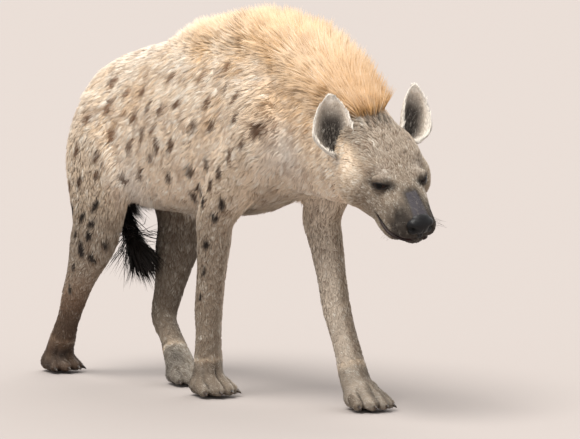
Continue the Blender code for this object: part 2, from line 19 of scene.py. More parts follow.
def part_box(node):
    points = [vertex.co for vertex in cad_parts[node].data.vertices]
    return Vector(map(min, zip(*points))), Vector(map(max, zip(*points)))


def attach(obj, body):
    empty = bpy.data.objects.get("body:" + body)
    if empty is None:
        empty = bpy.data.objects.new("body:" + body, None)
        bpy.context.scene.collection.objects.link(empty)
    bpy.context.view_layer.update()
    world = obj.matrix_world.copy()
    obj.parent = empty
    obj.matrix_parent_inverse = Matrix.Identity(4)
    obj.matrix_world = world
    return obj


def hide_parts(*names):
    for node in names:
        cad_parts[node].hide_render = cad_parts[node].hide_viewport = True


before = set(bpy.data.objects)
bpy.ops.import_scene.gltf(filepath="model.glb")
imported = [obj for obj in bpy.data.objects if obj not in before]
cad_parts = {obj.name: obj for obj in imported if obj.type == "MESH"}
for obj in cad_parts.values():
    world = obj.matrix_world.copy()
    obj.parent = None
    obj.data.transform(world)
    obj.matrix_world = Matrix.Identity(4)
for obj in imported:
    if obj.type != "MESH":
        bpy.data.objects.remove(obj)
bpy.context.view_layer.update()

# %% [markdown]
# ## Where things are
# The tables below repeat the named sections that the solids were lofted from. They are in the
# drawing's own place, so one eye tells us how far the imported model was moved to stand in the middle
# of its floor, and every mesh is moved by that shift when it is made.

# %% The head's frame and the shift
HEAD_PLACE = (0.6006, -0.035, 0.4944)
HEAD_TURN, HEAD_NOD, HEAD_ROLL = math.radians(-9.2), math.radians(34.0), math.radians(7.0)
EYE_CENTRE = (-0.009, 0.0430, -0.001)
EYE_RADIUS = 0.0155
EYE_LOOK = (0.60, 0.72, 0.34)
SIDES = ((-1, "right"), (1, "left"))


def turned(angle, axis):
    return Matrix.Rotation(angle, 4, axis)


def mirrored(point, side):
    return Vector((point[0], side * point[1], point[2]))


HEAD_FRAME = (
    Matrix.Translation(Vector(HEAD_PLACE))
    @ turned(HEAD_TURN, "Z") @ turned(HEAD_NOD, "Y") @ turned(HEAD_ROLL, "X")
)
low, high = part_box("eye_right")
SHIFT = (low + high) / 2 - HEAD_FRAME @ mirrored(EYE_CENTRE, -1)
print("shift", [round(v, 4) for v in SHIFT])

# %% [markdown]
# ## Camera, floor and light
# The camera comes first, since it settles what the pieces have to show. It stands ten metres away
# with a long lens, a little above the animal's back, as the photographer did. The floor is a plain
# pale sheet, and two broad soft lamps and a pale sky light the coat without hard shadows.

# %% Camera
PIXELS_WIDE, PIXELS_HIGH, FOCAL_PIXELS = 580, 439, 4650
HEADING, PITCH = math.radians(52.0), math.radians(5.0)
CAMERA_DISTANCE = 10.0
# A point between the right fore foot's toes, and where the photo shows it
FOOT_PLACE, FOOT_PIXEL = Vector((0.0, -0.07, 0.0)), (212, 396)


def placed(name, data):
    item = bpy.data.objects.new(name, data)
    bpy.context.scene.collection.objects.link(item)
    return item


def make_camera():
    lens = bpy.data.cameras.new("camera")
    lens.sensor_width = 36.0
    lens.lens = FOCAL_PIXELS / PIXELS_WIDE * lens.sensor_width
    lens.clip_end = 200.0
    item = placed("camera", lens)
    ahead = turned(HEADING, "Z") @ Vector((0.0, math.cos(PITCH), -math.sin(PITCH)))
    right = turned(HEADING, "Z") @ Vector((1.0, 0.0, 0.0))
    up = right.cross(ahead)
    across = (FOOT_PIXEL[0] - PIXELS_WIDE / 2) / FOCAL_PIXELS
    above = (PIXELS_HIGH / 2 - FOOT_PIXEL[1]) / FOCAL_PIXELS
    place = FOOT_PLACE - CAMERA_DISTANCE * (ahead + across * right + above * up)
    turn = Matrix((right, up, -ahead)).transposed().to_4x4()
    item.matrix_world = Matrix.Translation(place + SHIFT) @ turn
    bpy.context.scene.camera = item
    return item


print("camera at", [round(v, 3) for v in make_camera().matrix_world.translation])

# %% Floor, lamps and sky
FLOOR_SIDE = 160.0
FLOOR_COLOUR = (0.385, 0.350, 0.335)
SKY_COLOUR = (1.0, 0.985, 0.97)
SKY_STRENGTH = 0.88
# name, where it shines from, strength, how wide it looks in degrees, colour
LAMPS = [
    ("key_lamp", (0.15, -0.75, 1.60), 3.3, 35.0, (1.0, 0.97, 0.92)),
    ("back_lamp", (-0.60, 0.90, 1.30), 1.3, 50.0, (1.0, 0.98, 0.95)),
]


def plain_material(name, colour, roughness):
    made = bpy.data.materials.new(name)
    made.use_nodes = True
    shader = made.node_tree.nodes["Principled BSDF"]
    shader.inputs["Base Color"].default_value = (*colour, 1.0)
    shader.inputs["Roughness"].default_value = roughness
    return made


def make_stage():
    half = FLOOR_SIDE / 2
    mesh = bpy.data.meshes.new("floor")
    corners = [(-half, -half, 0), (half, -half, 0), (half, half, 0), (-half, half, 0)]
    mesh.from_pydata(corners, [], [(0, 1, 2, 3)])
    floor = placed("floor", mesh)
    finish = plain_material("pale_floor", FLOOR_COLOUR, 1.0)
    finish.node_tree.nodes["Principled BSDF"].inputs["Specular IOR Level"].default_value = 0.0
    mesh.materials.append(finish)
    world = bpy.data.worlds.new("pale_sky")
    world.use_nodes = True
    sky = world.node_tree.nodes["Background"]
    sky.inputs["Color"].default_value = (*SKY_COLOUR, 1.0)
    sky.inputs["Strength"].default_value = SKY_STRENGTH
    bpy.context.scene.world = world
    for name, source, strength, wide, colour in LAMPS:
        lamp = bpy.data.lights.new(name, "SUN")
        lamp.energy, lamp.angle, lamp.color = strength, math.radians(wide), colour
        item = placed(name, lamp)
        item.location = source
        item.rotation_euler = (-Vector(source)).to_track_quat("-Z", "Y").to_euler()
    bpy.context.scene.view_settings.view_transform = "Standard"


make_stage()
print("floor", FLOOR_SIDE, "m wide, lamps", [lamp[0] for lamp in LAMPS])

# %% [markdown]
# ## Sections of the body
# A hyena's trunk is deep at the withers and falls away to a low rump, its neck is very thick, and
# the legs are long in front. Each row of a table is one cross-section. The same rows do two jobs:
# they are lofted into the skin, and they later say which way the hair lies and how long it is.

# %% Sections of trunk, neck and tail
# Trunk: x, top, bottom, half width, how far the widest point lies below the middle
TRUNK = [
    (-0.505, 0.6, 0.5, 0.02, 0), (-0.49, 0.64, 0.465, 0.06, 0), (-0.45, 0.692, 0.43, 0.1, 0),
    (-0.37, 0.726, 0.402, 0.122, 0), (-0.28, 0.748, 0.38, 0.125, 0.05),
    (-0.16, 0.77, 0.376, 0.13, 0.1), (-0.04, 0.778, 0.379, 0.137, 0.12),
    (0.08, 0.784, 0.392, 0.134, 0.08), (0.16, 0.78, 0.415, 0.124, 0), (0.23, 0.763, 0.437, 0.108, 0),
    (0.29, 0.72, 0.455, 0.088, 0), (0.33, 0.67, 0.5, 0.05, 0),
]
# Paths: x, y, z, half size across the path in the upright plane, half size sideways
NECK = [
    (0.1, 0, 0.62, 0.165, 0.11), (0.2, 0, 0.608, 0.162, 0.106), (0.29, -0.004, 0.588, 0.148, 0.098),
    (0.37, -0.01, 0.566, 0.13, 0.092), (0.44, -0.018, 0.546, 0.114, 0.09),
    (0.51, -0.025, 0.526, 0.088, 0.078), (0.552, -0.03, 0.512, 0.05, 0.05),
]
TAIL = [
    (-0.47, 0, 0.615, 0.03, 0.03), (-0.502, 0, 0.59, 0.024, 0.024), (-0.504, 0, 0.54, 0.018, 0.018),
    (-0.492, 0.002, 0.475, 0.014, 0.014), (-0.462, 0.006, 0.415, 0.012, 0.011),
    (-0.424, 0.01, 0.35, 0.01, 0.009), (-0.396, 0.012, 0.305, 0.006, 0.006),
]
print("trunk sections", len(TRUNK), "neck", len(NECK), "tail", len(TAIL))

# %% Sections of the head
# In its own frame: x, top, bottom, half width, how far the widest point lies below the middle
SKULL = [
    (-0.17, 0.026, -0.06, 0.05, 0), (-0.15, 0.048, -0.086, 0.08, 0),
    (-0.12, 0.057, -0.106, 0.096, 0.05), (-0.085, 0.054, -0.118, 0.095, 0.1),
    (-0.045, 0.043, -0.119, 0.079, 0.08), (-0.01, 0.03, -0.114, 0.061, 0.03),
    (0.02, 0.018, -0.106, 0.055, 0), (0.05, 0.009, -0.096, 0.049, 0), (0.08, 0.001, -0.088, 0.043, 0),
    (0.098, -0.006, -0.078, 0.036, 0), (0.108, -0.016, -0.06, 0.026, 0),
]
# Swellings on each side of the head: centre, radii
HEAD_SIDES = [
    ((-0.075, 0.066, -0.045), (0.055, 0.036, 0.05)), ((-0.082, 0.032, 0.012), (0.06, 0.042, 0.034)),
    ((-0.018, 0.036, 0.014), (0.026, 0.014, 0.009)), ((-0.02, 0.047, -0.027), (0.036, 0.012, 0.014)),
    ((0.076, 0.023, -0.043), (0.034, 0.022, 0.026)), ((0.02, 0.034, -0.078), (0.062, 0.018, 0.02)),
]
NOSE_PAD = ((0.096, 0.0, -0.029), (0.022, 0.029, 0.021))
CHIN = ((0.074, 0.0, -0.076), (0.029, 0.026, 0.014))
MOUTH_LINE = [
    (0.012, -0.06), (0.035, -0.068), (0.06, -0.071), (0.085, -0.068), (0.105, -0.061), (0.13, -0.055),
]
print("head sections", len(SKULL), "swellings on each side", len(HEAD_SIDES))

# %% Legs and paws
# Each leg as its joints, from the trunk to the ball of the foot
LEGS = {
    "fore_right": [
        (0.15, -0.07, 0.64), (0.195, -0.095, 0.56), (0.052, -0.098, 0.397), (-0.001, -0.078, 0.186),
        (-0.006, -0.075, 0.045),
    ],
    "fore_left": [
        (0.15, 0.07, 0.64), (0.235, 0.095, 0.56), (0.168, 0.098, 0.395), (0.265, 0.062, 0.2),
        (0.36, 0.042, 0.045),
    ],
    "hind_right": [
        (-0.34, -0.06, 0.61), (-0.368, -0.088, 0.505), (-0.374, -0.105, 0.34), (-0.483, -0.09, 0.173),
        (-0.562, -0.075, 0.042),
    ],
    "hind_left": [
        (-0.32, 0.06, 0.61), (-0.33, 0.088, 0.5), (-0.322, 0.09, 0.34), (-0.329, 0.045, 0.137),
        (-0.214, 0.004, 0.045),
    ],
}
# Half sizes of a leg: joint (and how far on to the next), fore and aft, across
GIRTHS = {
    "fore": [
        (0, 0.1, 0.06), (1, 0.085, 0.055), (1.5, 0.07, 0.048), (2, 0.052, 0.041), (2.25, 0.045, 0.035),
        (2.6, 0.037, 0.03), (3, 0.033, 0.03), (3.4, 0.03, 0.028), (4, 0.032, 0.034),
    ],
    "hind": [
        (0, 0.12, 0.062), (1, 0.118, 0.06), (1.5, 0.096, 0.055), (2, 0.07, 0.045), (2.25, 0.064, 0.04),
        (2.45, 0.054, 0.034), (2.7, 0.041, 0.029), (3, 0.035, 0.026), (3.4, 0.029, 0.024),
        (4, 0.031, 0.034),
    ],
}
PAWS = {
    "fore_right": ((-0.010, -0.074), math.radians(-4.0)),
    "fore_left": ((0.378, 0.042), math.radians(-8.0)),
    "hind_right": ((-0.572, -0.075), math.radians(0.0)),
    "hind_left": ((-0.205, 0.002), math.radians(-4.0)),
}
PAW_SIZE = {"fore": 1.0, "hind": 0.90}
# Toes: knuckle, tip, and their radii, for the outer and the inner pair
TOES = [
    ((0.018, 0.034, 0.026), (0.043, 0.039, 0.015), 0.0165, 0.0140),
    ((0.030, 0.013, 0.032), (0.060, 0.014, 0.017), 0.0180, 0.0155),
]
PAW_PADS = [((-0.004, 0.0, 0.024), (0.042, 0.041, 0.028)), ((0.000, 0.0, 0.038), (0.036, 0.036, 0.030))]

print("legs", list(LEGS), "joints of each", len(LEGS["fore_right"]))

# %% [markdown]
# ## Lofts and balls
# Loft, ball and voxel remesh are the sculptor's armature and clay: rough forms go in, one closed
# skin comes out, and rounds of easing melt the creases between the forms.

# %% Lofts, limbs and balls
SEED = 41
rng = np.random.default_rng(SEED)


def mesh_of(form):
    mesh = bpy.data.meshes.new("form")
    bmesh.ops.recalc_face_normals(form, faces=form.faces)
    form.to_mesh(mesh)
    form.free()
    return mesh


def smooth_rows(rows, steps):
    """Points on a Catmull-Rom curve through the rows, with steps points for each stretch."""
    rows = np.array(rows, float)
    padded = np.vstack([2 * rows[0] - rows[1], rows, 2 * rows[-1] - rows[-2]])
    out = []
    for i in range(1, len(padded) - 2):
        before, start, end, after = padded[i - 1 : i + 3]
        for t in np.arange(steps) / steps:
            out.append(
                0.5 * (2 * start + (end - before) * t
                       + (2 * before - 5 * start + 4 * end - after) * t**2
                       + (3 * start - before - 3 * end + after) * t**3)
            )
    out.append(rows[-1])
    return np.array(out)


def loft(rings, tip=None):
    form = bmesh.new()
    loops = [[form.verts.new(point) for point in ring] for ring in rings]
    count = len(loops[0])
    for near, far in zip(loops, loops[1:]):
        for i in range(count):
            j = (i + 1) % count
            form.faces.new((near[i], near[j], far[j], far[i]))
    form.faces.new(loops[0][::-1])
    if tip is None:
        form.faces.new(loops[-1])
    else:
        end = form.verts.new(tip)
        for i in range(count):
            form.faces.new((loops[-1][i], loops[-1][(i + 1) % count], end))
    return mesh_of(form)


def circle(count):
    angles = np.linspace(0, 2 * math.pi, count, endpoint=False)
    return np.cos(angles), np.sin(angles)


def barrel(rows, sides=48, steps=8):
    across, up = circle(sides)
    rings = []
    for x, top, bottom, half, drop in smooth_rows(rows, steps):
        middle, tall = (top + bottom) / 2, (top - bottom) / 2
        level = half * across * (1 - drop * up)
        rings.append(np.stack([np.full(sides, x), level, middle + tall * up], 1))
    return loft(rings)


def limb(rows, sides=32, steps=8):
    rows = smooth_rows(rows, steps)
    ways = np.gradient(rows[:, :3], axis=0)
    along, across = circle(sides)
    rings = []
    for way, row in zip(ways, rows):
        way = Vector(way).normalized()
        side = (Vector((0, 1, 0)) - way * way.y).normalized()
        fore = side.cross(way)
        middle, deep, wide = Vector(row[:3]), fore * row[3], side * row[4]
        rings.append([middle + deep * a + wide * b for a, b in zip(along, across)])
    return loft(rings)


def ball(centre, radii, sides=32):
    form = bmesh.new()
    bmesh.ops.create_uvsphere(form, u_segments=sides, v_segments=sides // 2, radius=1.0)
    place = Matrix.Translation(Vector(centre)) @ Matrix.Diagonal((*radii, 1.0))
    bmesh.ops.transform(form, matrix=place, verts=form.verts)
    return mesh_of(form)


def moved(mesh, place):
    mesh.transform(place)
    return mesh


# %% Forms of the legs and paws
def leg_rows(name, start=0.0):
    joints = np.array(LEGS[name], float)
    rows = []
    for station, deep, wide in GIRTHS[name.split("_")[0]]:
        if station >= start:
            first = min(int(station), len(joints) - 2)
            point = joints[first] + (station - first) * (joints[first + 1] - joints[first])
            rows.append((*point, deep, wide))
    return rows


def paw_frame(name):
    place, heading = PAWS[name]
    size = PAW_SIZE[name.split("_")[0]]
    return Matrix.Translation(Vector((*place, 0.0))) @ turned(heading, "Z") @ Matrix.Scale(size, 4)


def paw_forms(name):
    forms = [ball(*pad) for pad in PAW_PADS]
    for knuckle, tip, wide, narrow in TOES:
        for side in (-1, 1):
            first, second = mirrored(knuckle, side), mirrored(tip, side)
            forms.append(ball(first, (wide * 1.1, wide * 0.86, wide)))
            mean = (wide + narrow) / 2
            forms.append(ball((first + second) / 2, (mean * 1.15, narrow * 0.9, mean)))
            forms.append(ball(second, (narrow * 1.1, narrow * 0.9, narrow)))
    return [moved(form, paw_frame(name)) for form in forms]


# %% Clay: joining, fusing and easing
def joined(meshes):
    form = bmesh.new()
    for mesh in meshes:
        form.from_mesh(mesh)
        bpy.data.meshes.remove(mesh)
    made = bpy.data.meshes.new("joined")
    form.to_mesh(made)
    form.free()
    return made


def fused(meshes, voxel, rounds=0):
    item = placed("working", joined(meshes))
    remesh = item.modifiers.new("Skin", "REMESH")
    remesh.mode = "VOXEL"
    remesh.voxel_size = voxel
    if rounds:
        smooth = item.modifiers.new("Ease", "SMOOTH")
        smooth.factor = 0.5
        smooth.iterations = rounds
    graph = bpy.context.evaluated_depsgraph_get()
    mesh = bpy.data.meshes.new_from_object(item.evaluated_get(graph))
    bpy.data.objects.remove(item, do_unlink=True)
    return mesh


# %% Points, easing and smooth masks
def points_of(mesh):
    points = np.empty(len(mesh.vertices) * 3, np.float32)
    mesh.vertices.foreach_get("co", points)
    return points.reshape(-1, 3).astype(float)


def normals_of(mesh):
    normals = np.empty(len(mesh.vertices) * 3, np.float32)
    mesh.vertex_normals.foreach_get("vector", normals)
    return normals.reshape(-1, 3).astype(float)


def set_points(mesh, points):
    mesh.vertices.foreach_set("co", points.astype(np.float32).ravel())
    mesh.update()


def ease(mesh, rounds, weight):
    """Move each point half way to the middle of its neighbours, as often as its weight says."""
    points = points_of(mesh)
    ends = np.empty(len(mesh.edges) * 2, np.int32)
    mesh.edges.foreach_get("vertices", ends)
    first, second = ends.reshape(-1, 2).T
    count = len(points)
    share = np.bincount(first, minlength=count) + np.bincount(second, minlength=count)
    for turn in range(rounds):
        pull = np.clip(weight * rounds - turn, 0, 1)[:, None] * 0.5
        near = np.empty_like(points)
        for axis in range(3):
            near[:, axis] = np.bincount(first, points[second, axis], count)
            near[:, axis] += np.bincount(second, points[first, axis], count)
        points += pull * (near / np.maximum(share, 1)[:, None] - points)
    set_points(mesh, points)


def ramp(value, start, end):
    """0 before start, 1 after end, and a smooth rise between them."""
    t = np.clip((value - start) / (end - start), 0, 1)
    return t * t * (3 - 2 * t)


def bump(points, centre, reach):
    """1 at the centre, falling smoothly to nothing beyond its reach."""
    away = (points - np.array(centre)) / np.array(reach)
    return np.exp(-(away**2).sum(1))


def folded(points):
    """Points with the right side laid over the left, for forms that both sides share."""
    return np.column_stack([points[:, 0], np.abs(points[:, 1]), points[:, 2]])


def through(matrix, points):
    """Many points at once, turned and moved by a matrix."""
    matrix = np.array(matrix)
    return points @ matrix[:3, :3].T + matrix[:3, 3]


# %% Pieces
def smooth_one(meshes):
    mesh = joined(meshes)
    mesh.shade_smooth()
    return mesh


def add_piece(name, mesh, material, slot, *nodes):
    """One finished piece: moved by the shift, given its finish, and riding on the one body."""
    mesh.name = name
    mesh.transform(Matrix.Translation(SHIFT))
    item = placed(name, mesh)
    mesh.materials.clear()
    mesh.materials.append(material)
    print(name, len(mesh.polygons), "faces")
    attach(item, "root")
    if nodes:
        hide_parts(*nodes)
    return item


print("helpers ready, random draws start from", SEED)

# %% [markdown]
# ## The lie of the coat
# Hair grows away from the nose, over the crown and along the neck and back to the rump, and down
# each leg to the toes. So each part's own axis tells the lie: near a leg's axis the hair follows the
# leg, near the trunk's it follows the trunk, and between them the two ways mix. The length of the
# hair, how far it lifts and how thick the coat is are given at both ends of each axis.

# %% Axes of the parts
HEAD_AXIS = [
    (-0.15, 0, -0.02), (-0.085, 0, -0.03), (-0.01, 0, -0.04), (0.05, 0, -0.045), (0.11, 0, -0.04),
]
HEAD_GIRTH = [0.075, 0.090, 0.072, 0.050, 0.034]


def axis_rows(name):
    """Rows of x, y, z and radius along the middle of a part."""
    if name == "trunk":
        return [(x, 0.0, (top + bottom) / 2, (half + (top - bottom) / 2) / 2)
                for x, top, bottom, half, _ in TRUNK]
    if name == "neck":
        return [(x, y, z, (deep + wide) / 2) for x, y, z, deep, wide in NECK[1:]]
    if name == "tail":
        return [(x, y, z, 0.03) for x, y, z, _, _ in TAIL[1:]]
    if name == "head":
        return [(*(HEAD_FRAME @ Vector(p)), r) for p, r in zip(HEAD_AXIS, HEAD_GIRTH)]
    if name.endswith("paw"):
        spot = paw_frame(name[:-4])
        return [(*(spot @ Vector(p)), 0.03) for p in ((-0.02, 0, 0.03), (0.02, 0, 0.028), (0.07, 0, 0.012))]
    return [(x, y, z, (deep + wide) / 2) for x, y, z, deep, wide in leg_rows(name, 0.8)[:-1]]


# Part: way of the hair along its rows, then length, lift in degrees and coat depth at each end
COAT = {
    "trunk": (-1, (0.030, 0.034), (14, 16), (0.008, 0.009)),
    "neck": (-1, (0.036, 0.026), (16, 16), (0.009, 0.006)),
    "head": (-1, (0.013, 0.004), (16, 12), (0.004, 0.0010)),
    "tail": (1, (0.022, 0.045), (14, 12), (0.006, 0.006)),
}
for leg in LEGS:
    COAT[leg] = (1, (0.020, 0.009), (15, 13), (0.006, 0.003))
    COAT[leg + "_paw"] = (1, (0.008, 0.006), (13, 12), (0.002, 0.0015))
PARTS = list(COAT)


def lie_of(points):
    """For each point: the way of its hair, length, lift, depth, and its share of every part."""
    count = len(points)
    nearest = np.full((count, len(PARTS)), 9.0)
    way, length, lift, depth = np.zeros((count, 3)), np.zeros(count), np.zeros(count), np.zeros(count)
    total = np.zeros(count)
    for k, name in enumerate(PARTS):
        rows = np.array(axis_rows(name))
        sign, lengths, lifts, depths = COAT[name]
        for i in range(len(rows) - 1):
            start, step = rows[i, :3], rows[i + 1, :3] - rows[i, :3]
            t = np.clip((points - start) @ step / (step @ step), 0, 1)
            away = np.linalg.norm(points - start - t[:, None] * step, axis=1)
            away /= rows[i, 3] + t * (rows[i + 1, 3] - rows[i, 3])
            nearest[:, k] = np.minimum(nearest[:, k], away)
            weight = np.maximum(away, 0.05) ** -9.0
            along = (i + t) / (len(rows) - 1)
            way += weight[:, None] * sign * step / np.linalg.norm(step)
            length += weight * (lengths[0] + along * (lengths[1] - lengths[0]))
            lift += weight * (lifts[0] + along * (lifts[1] - lifts[0]))
            depth += weight * (depths[0] + along * (depths[1] - depths[0]))
            total += weight
    share = np.maximum(nearest, 0.05) ** -9.0
    share /= share.sum(1)[:, None]
    return way / total[:, None], length / total, np.radians(lift / total), depth / total, share


def share_of(share, *names):
    return sum(share[:, PARTS.index(name)] for name in names)


LEG_PARTS = list(LEGS)
PAW_PARTS = [name + "_paw" for name in LEGS]

# %% [markdown]
# ## One skin
# All the forms are fused at 5 mm, eased until the shoulders and thighs flow into the trunk, and then
# moved inwards by the depth of the coat, so that skin and fur together reach the true outline. The
# head and paws are then divided, the face once more and the skin round the eyes a third time,
# because they need finer folds than a flank does.

# %% Fuse, ease and move inwards
SKIN_VOXEL = 0.005
SOLE_GAP = 0.0012
EASE_ROUNDS = 26
EASE_LOSS = 0.0024
EYE_SURROUND = 0.022


def skin_forms():
    forms = [barrel(TRUNK), limb(NECK), limb(TAIL, 20)]
    for name in LEGS:
        rows = leg_rows(name) + [(*(paw_frame(name) @ Vector((0.022, 0, 0.026))), 0.022, 0.028)]
        forms.append(limb(rows))
        forms += paw_forms(name)
    head = [barrel(SKULL), ball(NOSE_PAD[0], [0.86 * r for r in NOSE_PAD[1]]), ball(*CHIN)]
    for side, _ in SIDES:
        head += [ball(mirrored(centre, side), radii) for centre, radii in HEAD_SIDES]
    return forms + [moved(form, HEAD_FRAME) for form in head]


def divided(mesh, chosen):
    """The mesh with the faces whose points are all chosen cut into four."""
    form = bmesh.new()
    form.from_mesh(mesh)
    form.verts.ensure_lookup_table()
    edges = [e for e in form.edges if chosen[e.verts[0].index] and chosen[e.verts[1].index]]
    bmesh.ops.subdivide_edges(form, edges=edges, cuts=1, use_grid_fill=True)
    bmesh.ops.triangulate(form, faces=[f for f in form.faces if len(f.verts) > 4])
    form.to_mesh(mesh)
    form.free()
    return mesh


def in_head(points):
    return through(HEAD_FRAME.inverted(), points)


skin = fused(skin_forms(), SKIN_VOXEL)
share = lie_of(points_of(skin))[-1]
ease(skin, EASE_ROUNDS, 1 - 0.74 * share_of(share, "head") - 0.86 * share_of(share, *PAW_PARTS))
for divide in range(3):
    points = points_of(skin)
    local = in_head(points)
    share = lie_of(points)[-1]
    if divide == 0:
        fine = (share_of(share, "head", *PAW_PARTS) > 0.5) & (local[:, 0] > -0.15)
    elif divide == 1:
        fine = (share_of(share, "head") > 0.5) & (local[:, 0] > -0.035)
    else:
        fine = np.linalg.norm(folded(local) - np.array(EYE_CENTRE), axis=1) < EYE_SURROUND
    divided(skin, fine)
    if divide < 2:
        share = lie_of(points_of(skin))[-1]
        ease(skin, 3, (share_of(share, "head", *PAW_PARTS) > 0.4).astype(float))
print("skin points", len(skin.vertices))

# %% [markdown]
# ## Folds, sockets and the mouth
# The face needs more than a loft: a brow that overhangs the eye, a hollow in front of it, loose
# wrinkles over the crown, the groove of the mouth and the wings of the nose. Each is a small push
# in or out along the skin's own normal, written as a smooth bump at a named place in the head's
# frame. The eye opening is different: the skin there is pushed back behind the eyeball.

# %% Folds of the face and toes
WRINKLE_DEPTH, WRINKLE_GAP = 0.0016, 0.0021
MOUTH_DEPTH, LIP_SWELL, TOE_CREASE_DEPTH = 0.0035, 0.0012, 0.0040
NOSTRIL = (0.1100, 0.0212, -0.0308)
# Head's frame: place, how far it reaches each way, push outwards in metres
FACE_PUSHES = [
    (NOSTRIL, (0.0130, 0.0105, 0.0095), -0.0170),
    ((0.000, 0.045, 0.020), (0.020, 0.012, 0.008), 0.0024),
    ((0.020, 0.036, -0.010), (0.014, 0.010, 0.010), -0.0030),
    ((0.012, 0.044, -0.026), (0.022, 0.014, 0.008), 0.0012),
    ((0.060, 0.036, -0.030), (0.020, 0.014, 0.014), -0.0020),
    ((0.090, 0.036, -0.046), (0.022, 0.014, 0.016), 0.0025),
    ((-0.060, 0.000, 0.060), (0.050, 0.010, 0.030), -0.0030),
    ((-0.030, 0.078, -0.060), (0.040, 0.020, 0.030), 0.0020),
]


def mouth_height(x):
    line = smooth_rows(MOUTH_LINE, 4)
    return np.interp(x, line[:, 0], line[:, 1])


def sculpt_face(points):
    local = in_head(points)
    x, y, z = local.T
    push = sum(amount * bump(folded(local), centre, reach) for centre, reach, amount in FACE_PUSHES)
    crown = bump(local, (-0.132, 0.0, 0.058), (0.030, 0.050, 0.040))
    push += WRINKLE_DEPTH * crown * np.sin(y / WRINKLE_GAP + 2.2 * np.sin(x / 0.02))
    groove = z - mouth_height(x)
    reach = ramp(x, 0.006, 0.016)
    push -= MOUTH_DEPTH * reach * np.exp(-((groove / 0.0028) ** 2))
    push += LIP_SWELL * reach * np.exp(-(((groove - 0.008) / 0.0045) ** 2))
    return push * ramp(x, -0.185, -0.165)


def toe_creases(points):
    """How deep each point lies in a crease between two toes, from 0 to 1."""
    deepest = np.zeros(len(points))
    for name in PAWS:
        local = through(paw_frame(name).inverted(), points)
        y = np.abs(local[:, 1])
        crease = np.exp(-((y / 0.0030) ** 2)) + np.exp(-(((y - 0.0255 - 0.1 * local[:, 0]) / 0.0030) ** 2))
        near = ramp(local[:, 0], 0.014, 0.030) * ramp(-local[:, 0], -0.085, -0.075) * ramp(-y, -0.06, -0.05)
        deepest = np.maximum(deepest, crease * near * ramp(-local[:, 2], -0.075, -0.055))
    return deepest


# %% Muscles of the body
# Place, reach, push: shoulder blade, upper arm, elbow, hollow behind it, flank, haunch and thigh
BODY_PUSHES = [
    ((0.165, 0.125, 0.64), (0.05, 0.06, 0.1), 0.006), ((0.225, 0.12, 0.56), (0.04, 0.06, 0.05), 0.006),
    ((0.11, 0.13, 0.52), (0.05, 0.06, 0.06), 0.005), ((0.02, 0.13, 0.54), (0.03, 0.06, 0.12), -0.006),
    ((-0.21, 0.12, 0.56), (0.05, 0.07, 0.12), -0.007),
    ((-0.36, 0.125, 0.54), (0.08, 0.06, 0.08), 0.005),
    ((-0.43, 0.1, 0.45), (0.035, 0.06, 0.08), 0.004),
]


def sculpt_body(points):
    return sum(amount * bump(folded(points), centre, reach) for centre, reach, amount in BODY_PUSHES)


# %% Open the eyes and push the skin
LID_HALF_LENGTH, LID_RISE, LID_DROP = 0.0182, 0.0040, 0.0078
LID_THICKNESS, SKIN_BEHIND = 0.0016, 0.0025
EYE_STRETCH, EYE_TILT = 1.22, math.radians(15.0)


def eye_axes(side):
    """The eye's centre, its look, and the level and upright directions of its opening."""
    look = mirrored(EYE_LOOK, side).normalized()
    level = Vector((0, 0, 1)).cross(look).normalized() * side
    upright = look.cross(level) * side
    level, upright = (level * math.cos(EYE_TILT) - upright * math.sin(EYE_TILT),
                      upright * math.cos(EYE_TILT) + level * math.sin(EYE_TILT))
    return [np.array(v) for v in (mirrored(EYE_CENTRE, side), look, level, upright)]


def opening(a, b, longer=1.0):
    """How far along the eye's opening a point lies, 1 at its corners, and how far off the lid is."""
    t = np.abs(a) / (LID_HALF_LENGTH * longer)
    return t, np.where(b > 0, LID_RISE, LID_DROP) * np.maximum(1 - t * t, 0.0)


def set_eyes(points):
    """Skin over each eyeball lies on it as a lid, and is pushed back behind it in the opening."""
    local = in_head(points)
    lid = EYE_RADIUS + LID_THICKNESS
    for side, _ in SIDES:
        centre, look, level, upright = eye_axes(side)
        away = local - centre
        depth, a, b = away @ look, away @ level, away @ upright
        distance = np.linalg.norm(away - np.outer(a * (1 - 1 / EYE_STRETCH), level), axis=1)
        outward = np.maximum(lid / np.maximum(distance, 1e-6), 1.0)
        b = b * outward
        t, edge = opening(a * outward, b)
        inside = (depth > 0) & (t < 1) & (np.abs(b) < edge + 0.0004) & (distance < lid + 0.004)
        over = (depth > 0) & ~inside & (distance < lid)
        scale = np.ones(len(local))
        scale[over] = lid / distance[over]
        proud = (depth > 0) & ~inside & (distance < lid + 0.006) & (distance > lid)
        near = np.exp(-((np.maximum(np.abs(b) - edge, 0) / 0.004) ** 2)) * (t < 1.15)
        scale[proud] = (1 - near[proud]) + near[proud] * lid / distance[proud]
        scale[inside] = (EYE_RADIUS - SKIN_BEHIND) / np.maximum(distance[inside], 1e-6)
        local = centre + away * scale[:, None]
    return through(HEAD_FRAME, local)


points, normals = points_of(skin), normals_of(skin)
_, _, _, depth, share = lie_of(points)
thin = share_of(share, *LEG_PARTS) * (1 - ramp(points[:, 2], 0.30, 0.42))
push = sculpt_face(points) + sculpt_body(points) - depth
push += EASE_LOSS * thin - TOE_CREASE_DEPTH * toe_creases(points)
points = points + normals * push[:, None]
points[:, 2] = np.maximum(points[:, 2], SOLE_GAP)
set_points(skin, set_eyes(points))
print("skin faces", len(skin.polygons))

# %% [markdown]
# ## Markings
# A spotted hyena's spots are dark and clear on the flank and legs and fade to rust on the back and
# rump. The mane and the top of the neck are golden, the muzzle and the bridge of the nose almost
# bare and dark, and the feet brown. Each marking is worked out once, at the skin's points. The
# tufts take it from the skin under their roots, so that skin and coat agree everywhere.

